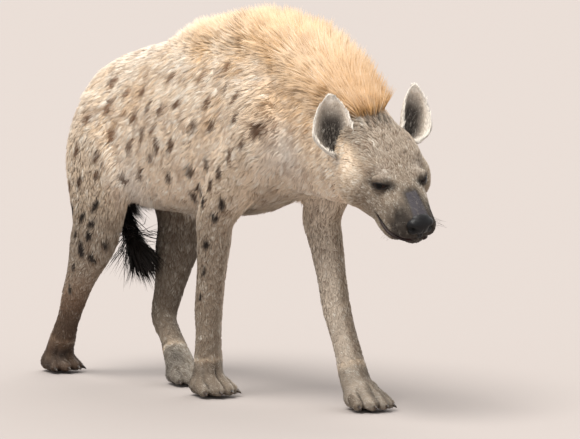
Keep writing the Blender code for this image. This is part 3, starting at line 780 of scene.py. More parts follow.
# %% Places of the spots
# In centimetres on the right side: x, z, radius, darkness
SPOT_ROWS = [
    (19, 62, 1.5, 0.8), (25, 60, 2, 0.8), (22, 57, 1.5, 0.8), (12, 68, 1.3, 0.7), (18, 66, 1.3, 0.7),
    (7, 65, 1.5, 0.7), (2, 59, 1.8, 0.8), (9, 60, 1.5, 0.8), (-10, 62, 1.7, 0.7), (-15, 63, 1.5, 0.7),
    (-21, 60, 1.6, 0.6), (-17, 57, 1.7, 0.7), (-12, 58, 1.4, 0.7), (-4, 64, 1.4, 0.7),
    (7, 52, 1.6, 0.9), (13, 50, 1.6, 0.9), (9, 47, 1.5, 0.9), (12, 43, 1.5, 1), (6, 43, 1.4, 1),
    (1, 46, 1.5, 0.9), (0, 50, 1.5, 0.9), (-11, 55, 1.7, 0.8), (-14, 52, 1.5, 0.8),
    (-22, 54, 1.8, 0.7), (-28, 56, 2, 0.5), (-30, 62, 2, 0.5), (-31, 67, 1.8, 0.5), (-36, 59, 2, 0.5),
    (-39, 52, 1.6, 0.7), (-32, 51, 1.5, 0.8), (-32, 47, 1.5, 0.8), (9, 77, 1.3, 0.5),
    (10, 72, 1.4, 0.5), (-19, 66, 1.6, 0.5), (-42, 39, 1.3, 1), (-37, 37, 1.3, 1), (-33, 40, 1.3, 1),
    (-34, 36, 1.3, 1), (-35, 33, 1.2, 1), (-38, 30, 2, 1), (-40, 33, 1, 1), (-32, 31, 1.1, 1),
    (-43, 25, 1.1, 1), (-36, 28, 1.1, 1), (-46, 20, 0.9, 1), (-43, 44, 1.5, 0.8), (-38, 45, 1.4, 0.9),
    (9, 40, 1.3, 1), (5, 34, 1.3, 1), (3, 28, 1.1, 1), (1, 22, 0.9, 1), (-5, 55, 1.5, 0.8),
    (-2, 44, 1.4, 0.9), (-8, 48, 1.5, 0.9), (-20, 48, 1.5, 0.8), (-26, 47, 1.4, 0.8),
    (17, 54, 1.3, 0.8), (-25, 65, 1.5, 0.5), (-9, 69, 1.4, 0.5), (2, 70, 1.4, 0.5),
]
SPOT_REACH = 0.0070
CENTIMETRE = 0.01
SPOT_LEAN, SPOT_TALL = 0.32, 1.40


def left_spots():
    """The other flank has spots of its own: the right side's, each moved a few centimetres."""
    return [(x + rng.uniform(-3, 3), z + rng.uniform(-2.5, 2.5), r, d) for x, z, r, d in SPOT_ROWS]


def ripple(points, size, seed):
    """A cheap smooth wander between -1 and 1, made of a few crossed waves of about that size."""
    turn = np.random.default_rng(seed)
    total = np.zeros(len(points))
    for _ in range(6):
        way = turn.normal(size=3)
        way /= np.linalg.norm(way)
        total += np.sin(points @ way * (2 * math.pi / size) * turn.uniform(0.6, 1.5) + turn.uniform(0, 6.3))
    return total / 3.0


def spot_marks(points, normals):
    spot, dark = np.zeros(len(points)), np.zeros(len(points))
    wander = 0.22 * ripple(points, 0.024, 5) + 0.12 * ripple(points, 0.009, 6)
    for side, rows in ((-1, SPOT_ROWS), (1, left_spots())):
        facing = ramp(side * normals[:, 1], 0.0, 0.35) * ramp(side * points[:, 1], -0.01, 0.02)
        for x, z, radius, darkness in rows:
            reach = radius * SPOT_REACH
            along, across = points[:, 0] - x * CENTIMETRE, points[:, 2] - z * CENTIMETRE
            away = np.hypot((along - SPOT_LEAN * across) / 0.95, across / SPOT_TALL) / reach + wander
            here = facing * (1 - ramp(away, 0.60, 1.40)) * (0.74 + 0.26 * darkness)
            dark = np.where(here > spot, darkness, dark)
            spot = np.maximum(spot, here)
    return spot, dark**2.4


def head_mask(local, share):
    """How much a point belongs to the head's own grey coat, crown and cheeks included."""
    near = ramp(bump(local, (-0.03, 0.0, -0.02), (0.17, 0.14, 0.13)), 0.18, 0.32)
    crown = near * ramp(local[:, 0], -0.172, -0.150) * ramp(local[:, 2], 0.005, 0.035)
    return np.maximum(ramp(share_of(share, "head"), 0.35, 0.8), crown)


def zones_of(points, share):
    """The points in the head's frame, and how much each belongs to head, body, legs and paws."""
    local = in_head(points)
    head = head_mask(local, share)
    legs, paws = share_of(share, *LEG_PARTS), share_of(share, *PAW_PARTS)
    return local, head, (1 - head) * (1 - ramp(legs + paws, 0.4, 0.9)), legs, paws


def bridge_mask(points, local):
    """The bare bridge of the nose, which widens towards the nose pad."""
    x, y, z = folded(local).T
    half_width = 0.030 + 0.5 * np.maximum(x - 0.04, 0)
    along = ramp(x + 0.003 * ripple(points, 0.015, 33), 0.014, 0.040)
    return along * ramp(-y, -half_width, -0.010) * ramp(z, -0.035, -0.015)


def jowl_mask(local):
    return bump(folded(local), (-0.105, 0.080, -0.075), (0.055, 0.050, 0.050))


# %% Pale, golden and grey hair, with painted light on the back
def tint_masks(points, normals, share):
    """Three masks for each point: how pale, how golden and how grey its hair is; the pale mask also holds
    painted light on the upward-facing back.
    """
    local, head, body, legs, paws = zones_of(points, share)
    both, jowl = folded(points), jowl_mask(local)
    x, y, z = points.T
    high = z + 0.03 * ripple(points, 0.12, 8)
    limbs = np.maximum(ramp(legs, 0.5, 1.0), paws)
    medial = limbs * ramp(-np.sign(y) * normals[:, 1], 0.0, 0.6) * ramp(x, -0.10, 0.0)
    gold = np.maximum.reduce([
        0.90 * body * ramp(high, 0.69, 0.76) * ramp(x, -0.30, 0.05),
        0.75 * body * ramp(x, 0.18, 0.32) * ramp(high, 0.54, 0.66),
        0.35 * body * ramp(ripple(points, 0.16, 19), 0.0, 0.8) * ramp(z, 0.50, 0.62),
        0.90 * bump(local, (-0.165, 0.0, 0.060), (0.030, 0.070, 0.045)),
    ])
    pale = np.maximum.reduce([
        0.85 * body * bump(both, (0.30, 0.10, 0.55), (0.050, 0.06, 0.070)),
        0.80 * body * bump(both, (-0.24, 0.10, 0.440), (0.050, 0.06, 0.070)),
        # Painted light: hair on the upward-facing rear half of the back painted paler, as if lit from above.
        0.45 * body * ramp(normals[:, 2], 0.3, 1.0) * ramp(-x, -0.05, 0.25),
        0.35 * body * ramp(-x, 0.36, 0.47),
        0.18 * bump(folded(local), (-0.014, 0.040, 0.022), (0.024, 0.016, 0.011)),
        0.26 * medial,
    ])
    lower = 1 - 0.62 * ramp(z, 0.32, 0.50)
    grey = np.maximum(0.88 * head, 0.86 * limbs * lower * (1 - 0.40 * medial)) * (1 - 0.55 * jowl)
    grey = np.maximum(grey, head * bridge_mask(points, local))
    return np.column_stack([pale, np.maximum(gold * (1 - head), 0.55 * jowl * head), grey])


# %% Dark marks of the face and the legs, and painted shade on the legs
def eye_soot(local, head):
    """A dark rim round each eye, and the tear line in front of it."""
    marks = np.zeros(len(local))
    for side, _ in SIDES:
        centre, look, level, upright = eye_axes(side)
        away = local - centre
        depth, a, b = away @ look, away @ level, away @ upright
        rim = np.exp(-(np.hypot((a + 0.006) / 0.0325, (b + 0.0018) / 0.0112) ** 4)) * (depth > -0.004)
        tear = bump(np.column_stack([a, b, 0 * a]), (-0.026, -0.002, 0.0), (0.012, 0.0055, 1.0))
        marks = np.maximum.reduce([marks, 0.98 * rim, 0.80 * tear * (depth > -0.02) * head])
    return marks


def face_soot(points, local, head):
    """Dark bridge, muzzle, crown stripes, lips and eye rims."""
    x, _, z = local.T
    muzzle = x - 0.35 * np.maximum(-z - 0.03, 0) + 0.004 * ripple(points, 0.02, 31)
    stripes = ramp(np.sin(local[:, 1] / 0.0019 + 2.0 * np.sin(x / 0.02)), 0.2, 0.95)
    return np.maximum.reduce([
        0.92 * head * bridge_mask(points, local),
        0.92 * head * ramp(muzzle, 0.032, 0.070) * ramp(-z, -0.03, 0.02),
        0.90 * stripes * bump(local, (-0.135, 0.0, 0.058), (0.026, 0.052, 0.030)),
        0.95 * head * np.exp(-(((z - mouth_height(x)) / 0.006) ** 2)) * ramp(x, 0.0, 0.02),
        eye_soot(local, head),
    ])


# How dark the lower leg is above the foot
FOOT_DARKNESS = {"fore_right": 0.19, "fore_left": 0.19, "hind_right": 0.66, "hind_left": 0.11}


def leg_dark_and_shade(points, normals, share, legs, paws):
    """Dark feet and backs of the legs, and painted shade in the toe creases and on the left hind leg. The
    right hind foot is the darkest.
    """
    x, y, z = points.T
    fore, right = ramp(x, -0.10, 0.0), ramp(-y, -0.02, 0.02)
    hind, left = 1 - fore, 1 - right
    feet = 0.34 + 0.14 * fore * left + hind * (0.46 * right - 0.24 * left)
    marks = [
        feet * paws * (0.8 + 0.2 * ripple(points, 0.05, 9)),
        # Painted shade on the left hind leg, which lies in the body's shadow.
        0.50 * hind * left * ramp(legs, 0.4, 0.9) * ramp(z, 0.04, 0.18),
        # Painted shade in the creases between the toes.
        0.85 * np.clip(toe_creases(points), 0, 1),
    ]
    for name, joints in LEGS.items():
        mine, foot = share_of(share, name), joints[3][2]
        marks.append(FOOT_DARKNESS[name] * mine * (1 - ramp(z, foot - 0.06, foot + 0.05)))
        marks.append(0.60 * mine * ramp(-normals[:, 0], 0.1, 0.8) * (1 - ramp(z, 0.26, 0.42)))
    return np.maximum.reduce(marks)


# %% Spots, dark hair and painted shade together
def mark_masks(points, normals, share):
    """Three masks for each point: spot, darkness of the spot, and dark hair together with painted shade."""
    local, head, body, legs, paws = zones_of(points, share)
    z = points[:, 2]
    dark_hair_and_shade = np.maximum.reduce([
        face_soot(points, local, head),
        leg_dark_and_shade(points, normals, share, legs, paws),
        # Painted shade on the underside of the trunk, partly its darker belly hair.
        0.55 * body * ramp(-normals[:, 2], 0.45, 0.95) * share_of(share, "trunk"),
        # Painted shade between the hind legs, in the groin.
        0.80 * bump(folded(points), (-0.34, 0.0, 0.40), (0.090, 0.075, 0.090)),
        ramp(share_of(share, "tail"), 0.4, 0.8) * (0.35 + 0.65 * (1 - ramp(z, 0.47, 0.57))),
    ])
    streaks = points * (1.0, 1.0, 0.55) - np.outer(0.35 * z, (1.0, 0.0, 0.0))
    mottle = ramp(ripple(streaks, 0.040, 12) + 0.6 * ripple(streaks, 0.014, 13), 0.15, 1.1)
    shank = share_of(share, "hind_right", "hind_right_paw") * (1 - ramp(z, 0.14, 0.27))
    flecks = head * ramp(-local[:, 0], 0.0, 0.05) * ramp(ripple(points, 0.016, 21), 0.75, 1.1)
    spot, dark = spot_marks(points, normals)
    spot = np.maximum.reduce([spot * (1 - head), 0.42 * body * mottle, 0.60 * shank, 0.55 * flecks])
    return np.column_stack([spot, np.maximum(dark, 0.9 * flecks), dark_hair_and_shade])


# %% Painted light and shade on the hair


def hair_bias(points, normals, share):
    """How much lighter or darker than usual the hairs of a place are painted: painted light and shade."""
    local = in_head(points)
    head = head_mask(local, share)
    body = share_of(share, "trunk", "neck") * (1 - head)
    top = head * ramp(local[:, 2], -0.02, 0.03) * ramp(-local[:, 0], -0.03, 0.02)
    both = folded(points)
    legs = share_of(share, *LEG_PARTS) * (1 - ramp(points[:, 2], 0.40, 0.55))
    # Painted shade on the top of the head and on the lower legs; the body painted a little lighter.
    bias = 0.04 * body - 0.22 * top - 0.10 * legs
    # Painted light on the top of the back.
    bias += 0.10 * bump(both, (-0.12, 0.10, 0.70), (0.16, 0.08, 0.08))
    # Painted shadow under the neck, on the top of the left fore leg.
    bias -= 0.16 * share_of(share, "fore_left") * ramp(points[:, 2], 0.28, 0.36)
    # Painted shade on the neck below the mane.
    bias -= 0.40 * bump(both, (0.245, 0.11, 0.640), (0.045, 0.06, 0.050))
    # Painted shade on the rump.
    bias -= 0.12 * body * ramp(-points[:, 0], 0.36, 0.46)
    # Painted light on the left hind paw.
    return bias + 0.35 * share_of(share, "hind_left_paw")


points, normals = points_of(skin), normals_of(skin)
tints, marks = tint_masks(points, normals, share), mark_masks(points, normals, share)
bias = hair_bias(points, normals, share)
print("markings", tints.mean(0).round(2), marks.mean(0).round(2), "bias", bias.mean().round(2))

# %% [markdown]
# ## The coat's colour, built once
# Every hairy piece shares one node group. It mixes a sandy ground from light and dark hairs, lays
# the tints and spots over it, lightens each tuft's tip, partly with a painted glow, and paints shade
# towards its root. The masks come in from the mesh, so the group stays small, and each material may still
# give it other values.

# %% Node helpers
def node(tree, kind, **values):
    made = tree.nodes.new(kind)
    for name, value in values.items():
        setattr(made, name, value)
    return made


def link(tree, start, end):
    tree.links.new(start, end)


def math_node(tree, operation, first, second):
    made = node(tree, "ShaderNodeMath", operation=operation, use_clamp=True)
    for socket, value in zip(made.inputs, (first, second)):
        if isinstance(value, (int, float)):
            socket.default_value = value
        else:
            link(tree, value, socket)
    return made.outputs[0]


def mix_colour(tree, factor, first, second, blend="MIX"):
    made = node(tree, "ShaderNodeMix", data_type="RGBA", blend_type=blend)
    for socket, value in ((made.inputs[0], factor), (made.inputs[6], first), (made.inputs[7], second)):
        if isinstance(value, (int, float)):
            socket.default_value = value
        elif isinstance(value, tuple):
            socket.default_value = (*value, 1.0)
        else:
            link(tree, value, socket)
    return made.outputs[2]


def spread(tree, value, start, end):
    made = node(tree, "ShaderNodeMapRange", interpolation_type="SMOOTHSTEP")
    link(tree, value, made.inputs["Value"])
    made.inputs["From Min"].default_value = start
    made.inputs["From Max"].default_value = end
    return made.outputs["Result"]


def linear(red, green, blue):
    """A colour as seen on a screen, 0 to 255, as the light that it stands for."""
    return tuple(((c / 255 + 0.055) / 1.055) ** 2.4 if c > 10 else c / 3294.6 for c in (red, green, blue))


# %% Colours of the hair
HAIR = {
    "sandy": linear(238, 214, 186),
    "cream": linear(254, 246, 232),
    "brown": linear(122, 92, 66),
    "pale": linear(246, 240, 232),
    "gold": linear(219, 168, 101),
    "grey": linear(108, 95, 82),
    "rust": linear(128, 88, 58),
    "black": linear(32, 23, 18),
    # Near-black for dark hair, also the colour of painted shade.
    "dark_hair_and_shade": linear(28, 22, 19),
    # Bare bridge of the nose: slate-grey skin with a painted sky sheen.
    "slate_and_sky_sheen": linear(62, 60, 68),
}


print("hair colours", list(HAIR))


# %% The shared coat group
def coat_group():
    group = bpy.data.node_groups.new("hyena_coat_colour", "ShaderNodeTree")
    for name in ("Tints", "Marks", "Place"):
        group.interface.new_socket(name, in_out="INPUT", socket_type="NodeSocketVector")
    for name, value in (("Chance", 0.5), ("Along", 0.5), ("Contrast", 1.0)):
        group.interface.new_socket(name, in_out="INPUT", socket_type="NodeSocketFloat").default_value = value
    group.interface.new_socket("Colour", in_out="OUTPUT", socket_type="NodeSocketColor")
    taken, given = node(group, "NodeGroupInput").outputs, node(group, "NodeGroupOutput")
    tint, mark = node(group, "ShaderNodeSeparateXYZ"), node(group, "ShaderNodeSeparateXYZ")
    link(group, taken["Tints"], tint.inputs[0])
    link(group, taken["Marks"], mark.inputs[0])
    noise = node(group, "ShaderNodeTexNoise")
    link(group, taken["Place"], noise.inputs["Vector"])
    noise.inputs["Scale"].default_value = 60.0
    noise.inputs["Detail"].default_value = 3.0

    def times(value, share):
        return math_node(group, "MULTIPLY", value, share)

    def unlit(mask, share):
        """The mask, weaker on the lighter hairs."""
        return times(mask, math_node(group, "SUBTRACT", 1.0, times(light, share)))

    chance = math_node(group, "ADD", times(taken["Chance"], 0.75), times(noise.outputs["Fac"], 0.28))
    light = times(spread(group, chance, 0.52, 0.90), taken["Contrast"])
    dark = times(spread(group, chance, 0.34, 0.10), taken["Contrast"])
    # Lighter tips: partly pale hair tips, partly a painted glow of light shining through them.
    tip = spread(group, taken["Along"], 0.55, 1.0)
    colour = mix_colour(group, light, HAIR["sandy"], HAIR["cream"])
    for mask, strength, name in (
        (dark, 0.85, "brown"), (tint.outputs[2], 0.92, "grey"), (tint.outputs[1], 0.85, "gold"),
        (tint.outputs[0], 0.80, "pale"), (light, 0.40, "cream"), (tip, 0.28, "cream"), (dark, 0.35, "brown"),
    ):
        colour = mix_colour(group, times(mask, strength), colour, HAIR[name])
    spot_colour = mix_colour(group, mark.outputs[1], HAIR["rust"], HAIR["black"])
    colour = mix_colour(group, unlit(mark.outputs[0], 0.35), colour, spot_colour)
    # On the bare bridge the dark mix turns slate: grey skin partly, and partly a painted sky sheen.
    bare = mix_colour(group, spread(group, tint.outputs[2], 0.90, 1.0), HAIR["dark_hair_and_shade"], HAIR["slate_and_sky_sheen"])
    colour = mix_colour(group, unlit(mark.outputs[2], 0.30), colour, bare)
    # Painted shade: each tuft darker towards its root, where the coat shades itself; the skin under the coat
    # gets it at along 0.45.
    shade = math_node(group, "ADD", times(spread(group, taken["Along"], 0.0, 0.8), 0.42), 0.58)
    grey = node(group, "ShaderNodeCombineColor")
    for socket in grey.inputs:
        link(group, shade, socket)
    colour = mix_colour(group, 1.0, colour, grey.outputs[0], "MULTIPLY")
    link(group, colour, given.inputs["Colour"])
    return group


COAT_GROUP = coat_group()
print("coat group:", len(COAT_GROUP.nodes), "nodes")


# %% Fine grain
def fine_grain_group():
    """Pores or hair-like grain as a height, for bare skin, nose, horn and the skin under the coat."""
    group = bpy.data.node_groups.new("fine_grain", "ShaderNodeTree")
    for name, value in (("Scale", 300.0), ("Stretch", 0.5)):
        group.interface.new_socket(name, in_out="INPUT", socket_type="NodeSocketFloat").default_value = value
    group.interface.new_socket("Height", in_out="OUTPUT", socket_type="NodeSocketFloat")
    group.interface.new_socket("Patch", in_out="OUTPUT", socket_type="NodeSocketFloat")
    taken, given = node(group, "NodeGroupInput").outputs, node(group, "NodeGroupOutput")
    place = node(group, "ShaderNodeTexCoord").outputs["Object"]
    cells, noise = node(group, "ShaderNodeTexVoronoi"), node(group, "ShaderNodeTexNoise")
    for texture in (cells, noise):
        link(group, place, texture.inputs["Vector"])
        link(group, taken["Scale"], texture.inputs["Scale"])
    noise.inputs["Detail"].default_value = 4.0
    made = node(group, "ShaderNodeMix", data_type="FLOAT")
    link(group, taken["Stretch"], made.inputs[0])
    link(group, cells.outputs["Distance"], made.inputs[2])
    link(group, noise.outputs["Fac"], made.inputs[3])
    link(group, made.outputs[0], given.inputs["Height"])
    link(group, noise.outputs["Fac"], given.inputs["Patch"])
    return group


GRAIN_GROUP = fine_grain_group()


# %% Hair materials
def attribute(tree, name, output):
    return node(tree, "ShaderNodeAttribute", attribute_name=name).outputs[output]


def raise_grain(tree, scale, stretch, strength, distance):
    """Grain as a bump on the tree's shader. Gives the grain's patches, to colour by."""
    grain, raised = node(tree, "ShaderNodeGroup", node_tree=GRAIN_GROUP), node(tree, "ShaderNodeBump")
    grain.inputs["Scale"].default_value = scale
    grain.inputs["Stretch"].default_value = stretch
    raised.inputs["Strength"].default_value = strength
    raised.inputs["Distance"].default_value = distance
    link(tree, grain.outputs["Height"], raised.inputs["Height"])
    link(tree, raised.outputs["Normal"], tree.nodes["Principled BSDF"].inputs["Normal"])
    return grain.outputs["Patch"]


def hair_material(name, roughness, contrast, on_skin=False):
    made = plain_material(name, HAIR["sandy"], roughness)
    tree = made.node_tree
    shader = tree.nodes["Principled BSDF"]
    shader.inputs["Specular IOR Level"].default_value = 0.25
    coat = node(tree, "ShaderNodeGroup", node_tree=COAT_GROUP)
    for name, output in (("Tints", "Vector"), ("Marks", "Vector"), ("Chance", "Fac"), ("Along", "Fac")):
        link(tree, attribute(tree, name.lower(), output), coat.inputs[name])
    link(tree, node(tree, "ShaderNodeTexCoord").outputs["Object"], coat.inputs["Place"])
    coat.inputs["Contrast"].default_value = contrast
    link(tree, coat.outputs["Colour"], shader.inputs["Base Color"])
    if on_skin:
        raise_grain(tree, 420.0, 0.7, 0.6, 0.0012)
    return made


SKIN_FINISH = hair_material("short_coat_on_skin", 0.62, 0.5, on_skin=True)
COAT_FINISH = hair_material("coat_tufts", 0.55, 1.0)
MANE_FINISH = hair_material("mane_hair", 0.45, 1.0)


def write_field(mesh, name, values, kind="FLOAT", field="value"):
    layer = mesh.attributes.new(name, kind, "POINT")
    layer.data.foreach_set(field, np.ascontiguousarray(values, np.float32).ravel())


def write_masks(mesh, tints, marks, chance, along):
    write_field(mesh, "tints", tints, "FLOAT_VECTOR", "vector")
    write_field(mesh, "marks", marks, "FLOAT_VECTOR", "vector")
    write_field(mesh, "chance", chance)
    write_field(mesh, "along", along)


count = len(skin.vertices)
write_masks(skin, tints, marks, 0.5 + bias + 0.3 * ripple(points, 0.01, 3), np.full(count, 0.45))
skin.shade_smooth()
print("skin carries", [layer.name for layer in skin.attributes][-4:])
FLESH = ["torso", "neck", "head", "tail"] + [n.replace("_", f"_{k}_") for n in LEGS for k in ("leg", "paw")]

# %% [markdown]
# ## Ears
# A spotted hyena's ears are round-tipped cups that face forward. Each is one grid bent round a
# cup and given a thickness that falls off to the rim, so its edge is fine, and its root is sunk in
# the head. The hollow is dark, and pale hairs stand along the rim.

# %% Shape and place of an ear
EAR_ROOT, EAR_ASIDE = (-0.137, 0.091, 0.002), -0.007
EAR_TALL, EAR_WIDE, EAR_CUP, EAR_THICK = 0.132, 0.043, 0.034, 0.0030
EAR_OUT, EAR_SPLAY, EAR_ROLL = math.radians(15.0), math.radians(6.5), math.radians(-6.5)
EAR_STEPS = (22, 20)


def ear_point(t, s):
    """A point of the cup: t from the root to the tip, s from one rim to the other."""
    if t < 0.40:
        wide = EAR_WIDE * (0.42 + 0.58 * math.sin(math.pi / 2 * t / 0.40))
    else:
        wide = EAR_WIDE * max(1 - ((t - 0.40) / 0.60) ** 1.9, 0.0) ** 0.72
    root = max(0.0, 1 - t / 0.35)
    cup = (EAR_CUP * (1 - t) ** 0.8 + 0.004) * (1 - 0.45 * root)
    angle = math.radians(82 + 24 * root) * s
    return Vector((cup * (1 - math.cos(angle)) - 0.006 * t * t, wide * math.sin(angle), EAR_TALL * t * 0.985))


def ear_place(side):
    root = HEAD_FRAME @ (mirrored(EAR_ROOT, side) + Vector((0, EAR_ASIDE, 0)))
    turn = turned(HEAD_TURN + side * EAR_OUT, "Z") @ turned(EAR_ROLL - side * EAR_SPLAY, "X")
    return Matrix.Translation(root) @ turn @ Matrix.Translation(Vector((-0.012, 0, -0.022)))


# %% An ear's mesh
def border_of(grid):
    """The points round a grid's edge, in order."""
    return [row[0] for row in grid] + grid[-1][1:] + [row[-1] for row in grid[-2::-1]] + grid[0][-2:0:-1]


def ear_grid(form, side, inner):
    """One face of the cup as rows of points. The cup is thinner towards its rim and tip."""
    tall, wide = EAR_STEPS
    grid = []
    for i in range(tall + 1):
        t = min(1 - (1 - i / tall) ** 1.5, 0.99)
        row = []
        for j in range(wide + 1):
            s = 2 * j / wide - 1
            point, before = ear_point(t, s), ear_point(t, s - 0.01)
            above = ear_point(min(t + 0.01, 0.995), s)
            out = (above - point).cross(point - before).normalized()
            thick = EAR_THICK * (0.25 + 0.75 * (1 - abs(s) ** 6)) * (1 - 0.5 * t)
            point = point + out * thick * (0.5 if inner else -0.5)
            point.y -= side * 0.026 * max(0.0, 1 - t / 0.40) ** 2
            row.append(form.verts.new(point))
        grid.append(row)
    return grid


def ear_mesh(side):
    """The cup, with its place on the ear kept for each point: height, rim and inside or outside."""
    form = bmesh.new()
    tall, wide = EAR_STEPS
    layers = [ear_grid(form, side, inner) for inner in (0, 1)]
    for grid, flip in ((layers[0], False), (layers[1], True)):
        for near, far in zip(grid, grid[1:]):
            for j in range(wide):
                ring = (near[j], near[j + 1], far[j + 1], far[j])
                form.faces.new(ring[::-1] if flip else ring)
    border, other = border_of(layers[0]), border_of(layers[1])
    for k in range(len(border)):
        m = (k + 1) % len(border)
        form.faces.new((border[k], border[m], other[m], other[k]))
    bmesh.ops.transform(form, matrix=ear_place(side), verts=form.verts)
    mesh = mesh_of(form)
    height = np.tile(np.repeat(1 - (1 - np.arange(tall + 1) / tall) ** 1.5, wide + 1), 2)
    rim = np.tile(np.tile(np.abs(2 * np.arange(wide + 1) / wide - 1), tall + 1), 2)
    inside = np.repeat([1.0, 0.0], (tall + 1) * (wide + 1))
    return mesh, height, rim, inside


print("ear root", [round(v, 3) for v in ear_place(-1).translation])

# %% [markdown]
# ## Growing the tufts
# One tuft is a flat spindle with five points: a root sunk in the skin, a ring of three at its
# middle and a tip. Six triangles are enough, because the bend lies at the ring, and a quarter of a
# million such spindles cover the animal as thin, overlapping locks. Roots are spread evenly by
# giving every triangle of the skin its own share, so that no area is bare.

# %% Roots on a surface
def surface_of(mesh, **fields):
    """The triangles of a mesh with whatever is known at its points."""
    mesh.calc_loop_triangles()
    corners = np.empty(len(mesh.loop_triangles) * 3, np.int32)
    mesh.loop_triangles.foreach_get("vertices", corners)
    found = {"points": points_of(mesh), "normals": normals_of(mesh), "corners": corners.reshape(-1, 3)}
    found.update(fields)
    return found


def roots(surface, density):
    """Evenly spread roots, as a dictionary of what the surface knows at each. Density is per square metre."""
    corners = surface["corners"]
    a, b, c = (surface["points"][corners[:, k]] for k in range(3))
    area = np.linalg.norm(np.cross(b - a, c - a), axis=1) / 2
    wanted = area * density[corners].mean(1)
    count = np.floor(wanted + rng.random(len(wanted))).astype(int)
    chosen = np.repeat(np.arange(len(corners)), count)
    u, v = rng.random(len(chosen)), rng.random(len(chosen))
    over = u + v > 1
    u[over], v[over] = 1 - u[over], 1 - v[over]
    shares = np.stack([1 - u - v, u, v], 1)
    found = {}
    for name, values in surface.items():
        if name != "corners":
            picked = values[corners[chosen]]
            weights = shares if values.ndim == 1 else shares[:, :, None]
            found[name] = (picked * weights).sum(1)
    found["normals"] /= np.linalg.norm(found["normals"], axis=1)[:, None]
    return found


def unit(vectors):
    return vectors / np.maximum(np.linalg.norm(vectors, axis=1), 1e-9)[:, None]


def unwrap(places, share):
    """Each root's place on an unwrap of the skin: along the axis of its part, and round it."""
    part = share.argmax(1)
    u, v = np.zeros(len(places)), np.zeros(len(places))
    start = 0.0
    for k in np.unique(part):
        mine = part == k
        rows = np.array(axis_rows(PARTS[k]))
        ahead = rows[-1, :3] - rows[0, :3]
        run = np.concatenate([[0], np.cumsum(np.linalg.norm(np.diff(rows[:, :3], axis=0), axis=1))])
        dense = np.array([np.interp(np.linspace(0, run[-1], 60), run, rows[:, j]) for j in range(3)]).T
        gaps = ((places[mine][:, None, :] - dense[None]) ** 2).sum(2)
        nearest = gaps.argmin(1)
        middle = dense[nearest]
        away = places[mine] - middle
        ahead /= np.linalg.norm(ahead)
        side = np.array((0.0, 1.0, 0.0))
        over = np.cross(ahead, side)
        angle = np.arctan2(away @ side, away @ over) / (2 * math.pi) + 0.5
        along = places[mine] @ ahead
        along = (along - along.min()) / max(np.ptp(along), 1e-6)
        angle = (angle - angle.min()) / max(np.ptp(angle), 1e-6)
        share_here = mine.mean()
        u[mine] = 0.01 + 0.98 * along
        v[mine] = start + share_here * (0.02 + 0.96 * angle)
        start += share_here
    return np.column_stack([u, v])


# %% Tufts as spindles
MOST_LOCK_REACH, SKIN_NORMAL_SHARE = 0.02, 0.55
# A spindle's faces, its points' places from root to tip, and its small patch of the coat's chart
SPINDLE = np.array([(0, 2, 1), (0, 1, 3), (0, 3, 2), (4, 1, 2), (4, 3, 1), (4, 2, 3)])
SPINDLE_ALONG = np.array([0.0, 0.5, 0.5, 0.62, 1.0])
CHART_SPINDLE = 0.003 * np.array([(0, -0.5), (-0.5, 0), (0.5, 0), (0, 0), (0, 0.5)])


def nearest_lock(places, tufts_each):
    """For each root, the number of the root that leads its lock."""
    leaders = rng.choice(len(places), max(len(places) // tufts_each, 1), replace=False)
    tree = KDTree(len(leaders))
    for leader in leaders:
        tree.insert(places[leader], int(leader))
    tree.balance()
    return np.array([tree.find(place)[1] for place in places])


def tuft_points(grown, seed, width=0.0026, thick=0.0007, curl=0.25, clump=0.35, sink=0.12, tufts_each=14,
                gather=0.55):
    """Five points for each tuft, root, ring of three and tip, and the lock that each tuft joins."""
    places, normals = grown["points"], grown["normals"]
    count = len(places)
    length = grown["length"] * rng.uniform(0.72, 1.12, count)
    comb = grown["way"] - normals * (grown["way"] * normals).sum(1)[:, None]
    comb = unit(comb + 0.02 * rng.normal(size=(count, 3)))
    side = unit(np.cross(normals, comb))
    sway = clump * (ripple(places, 0.035, seed) + 0.8 * ripple(places, 0.013, seed + 1))
    sway += 0.16 * rng.normal(size=count)
    comb = unit(comb + side * sway[:, None] * 0.6)
    side = unit(np.cross(normals, comb))
    lift = grown["lift"] * rng.uniform(0.6, 1.5, count)
    first = comb * np.cos(lift)[:, None] + normals * np.sin(lift)[:, None]
    later = lift * (1 - 2.2 * curl)
    second = comb * np.cos(later)[:, None] + normals * np.sin(later)[:, None] + side * (0.25 * sway)[:, None]
    base = places - normals * (length * sink)[:, None] - comb * (length * 0.05)[:, None]
    middle = places + first * (length * 0.42)[:, None]
    tip = middle + unit(second) * (length * 0.60)[:, None]
    lock = nearest_lock(places, tufts_each)
    near = np.linalg.norm(places[lock] - places, axis=1) < MOST_LOCK_REACH
    pull = (gather * rng.uniform(0.4, 1.0, count) * near)[:, None]
    middle = middle + 0.35 * pull * (middle[lock] - middle)
    tip = tip + pull * (tip[lock] - tip)
    half = (grown.get("width", width) * rng.uniform(0.7, 1.25, count) / 2)[:, None]
    up = unit(np.cross(side, comb))
    up = np.where(((up * normals).sum(1) < 0)[:, None], -up, up)
    ring = [middle - side * half, middle + side * half, middle + up * thick]
    return np.stack([base, *ring, tip], 1).reshape(-1, 3), lock


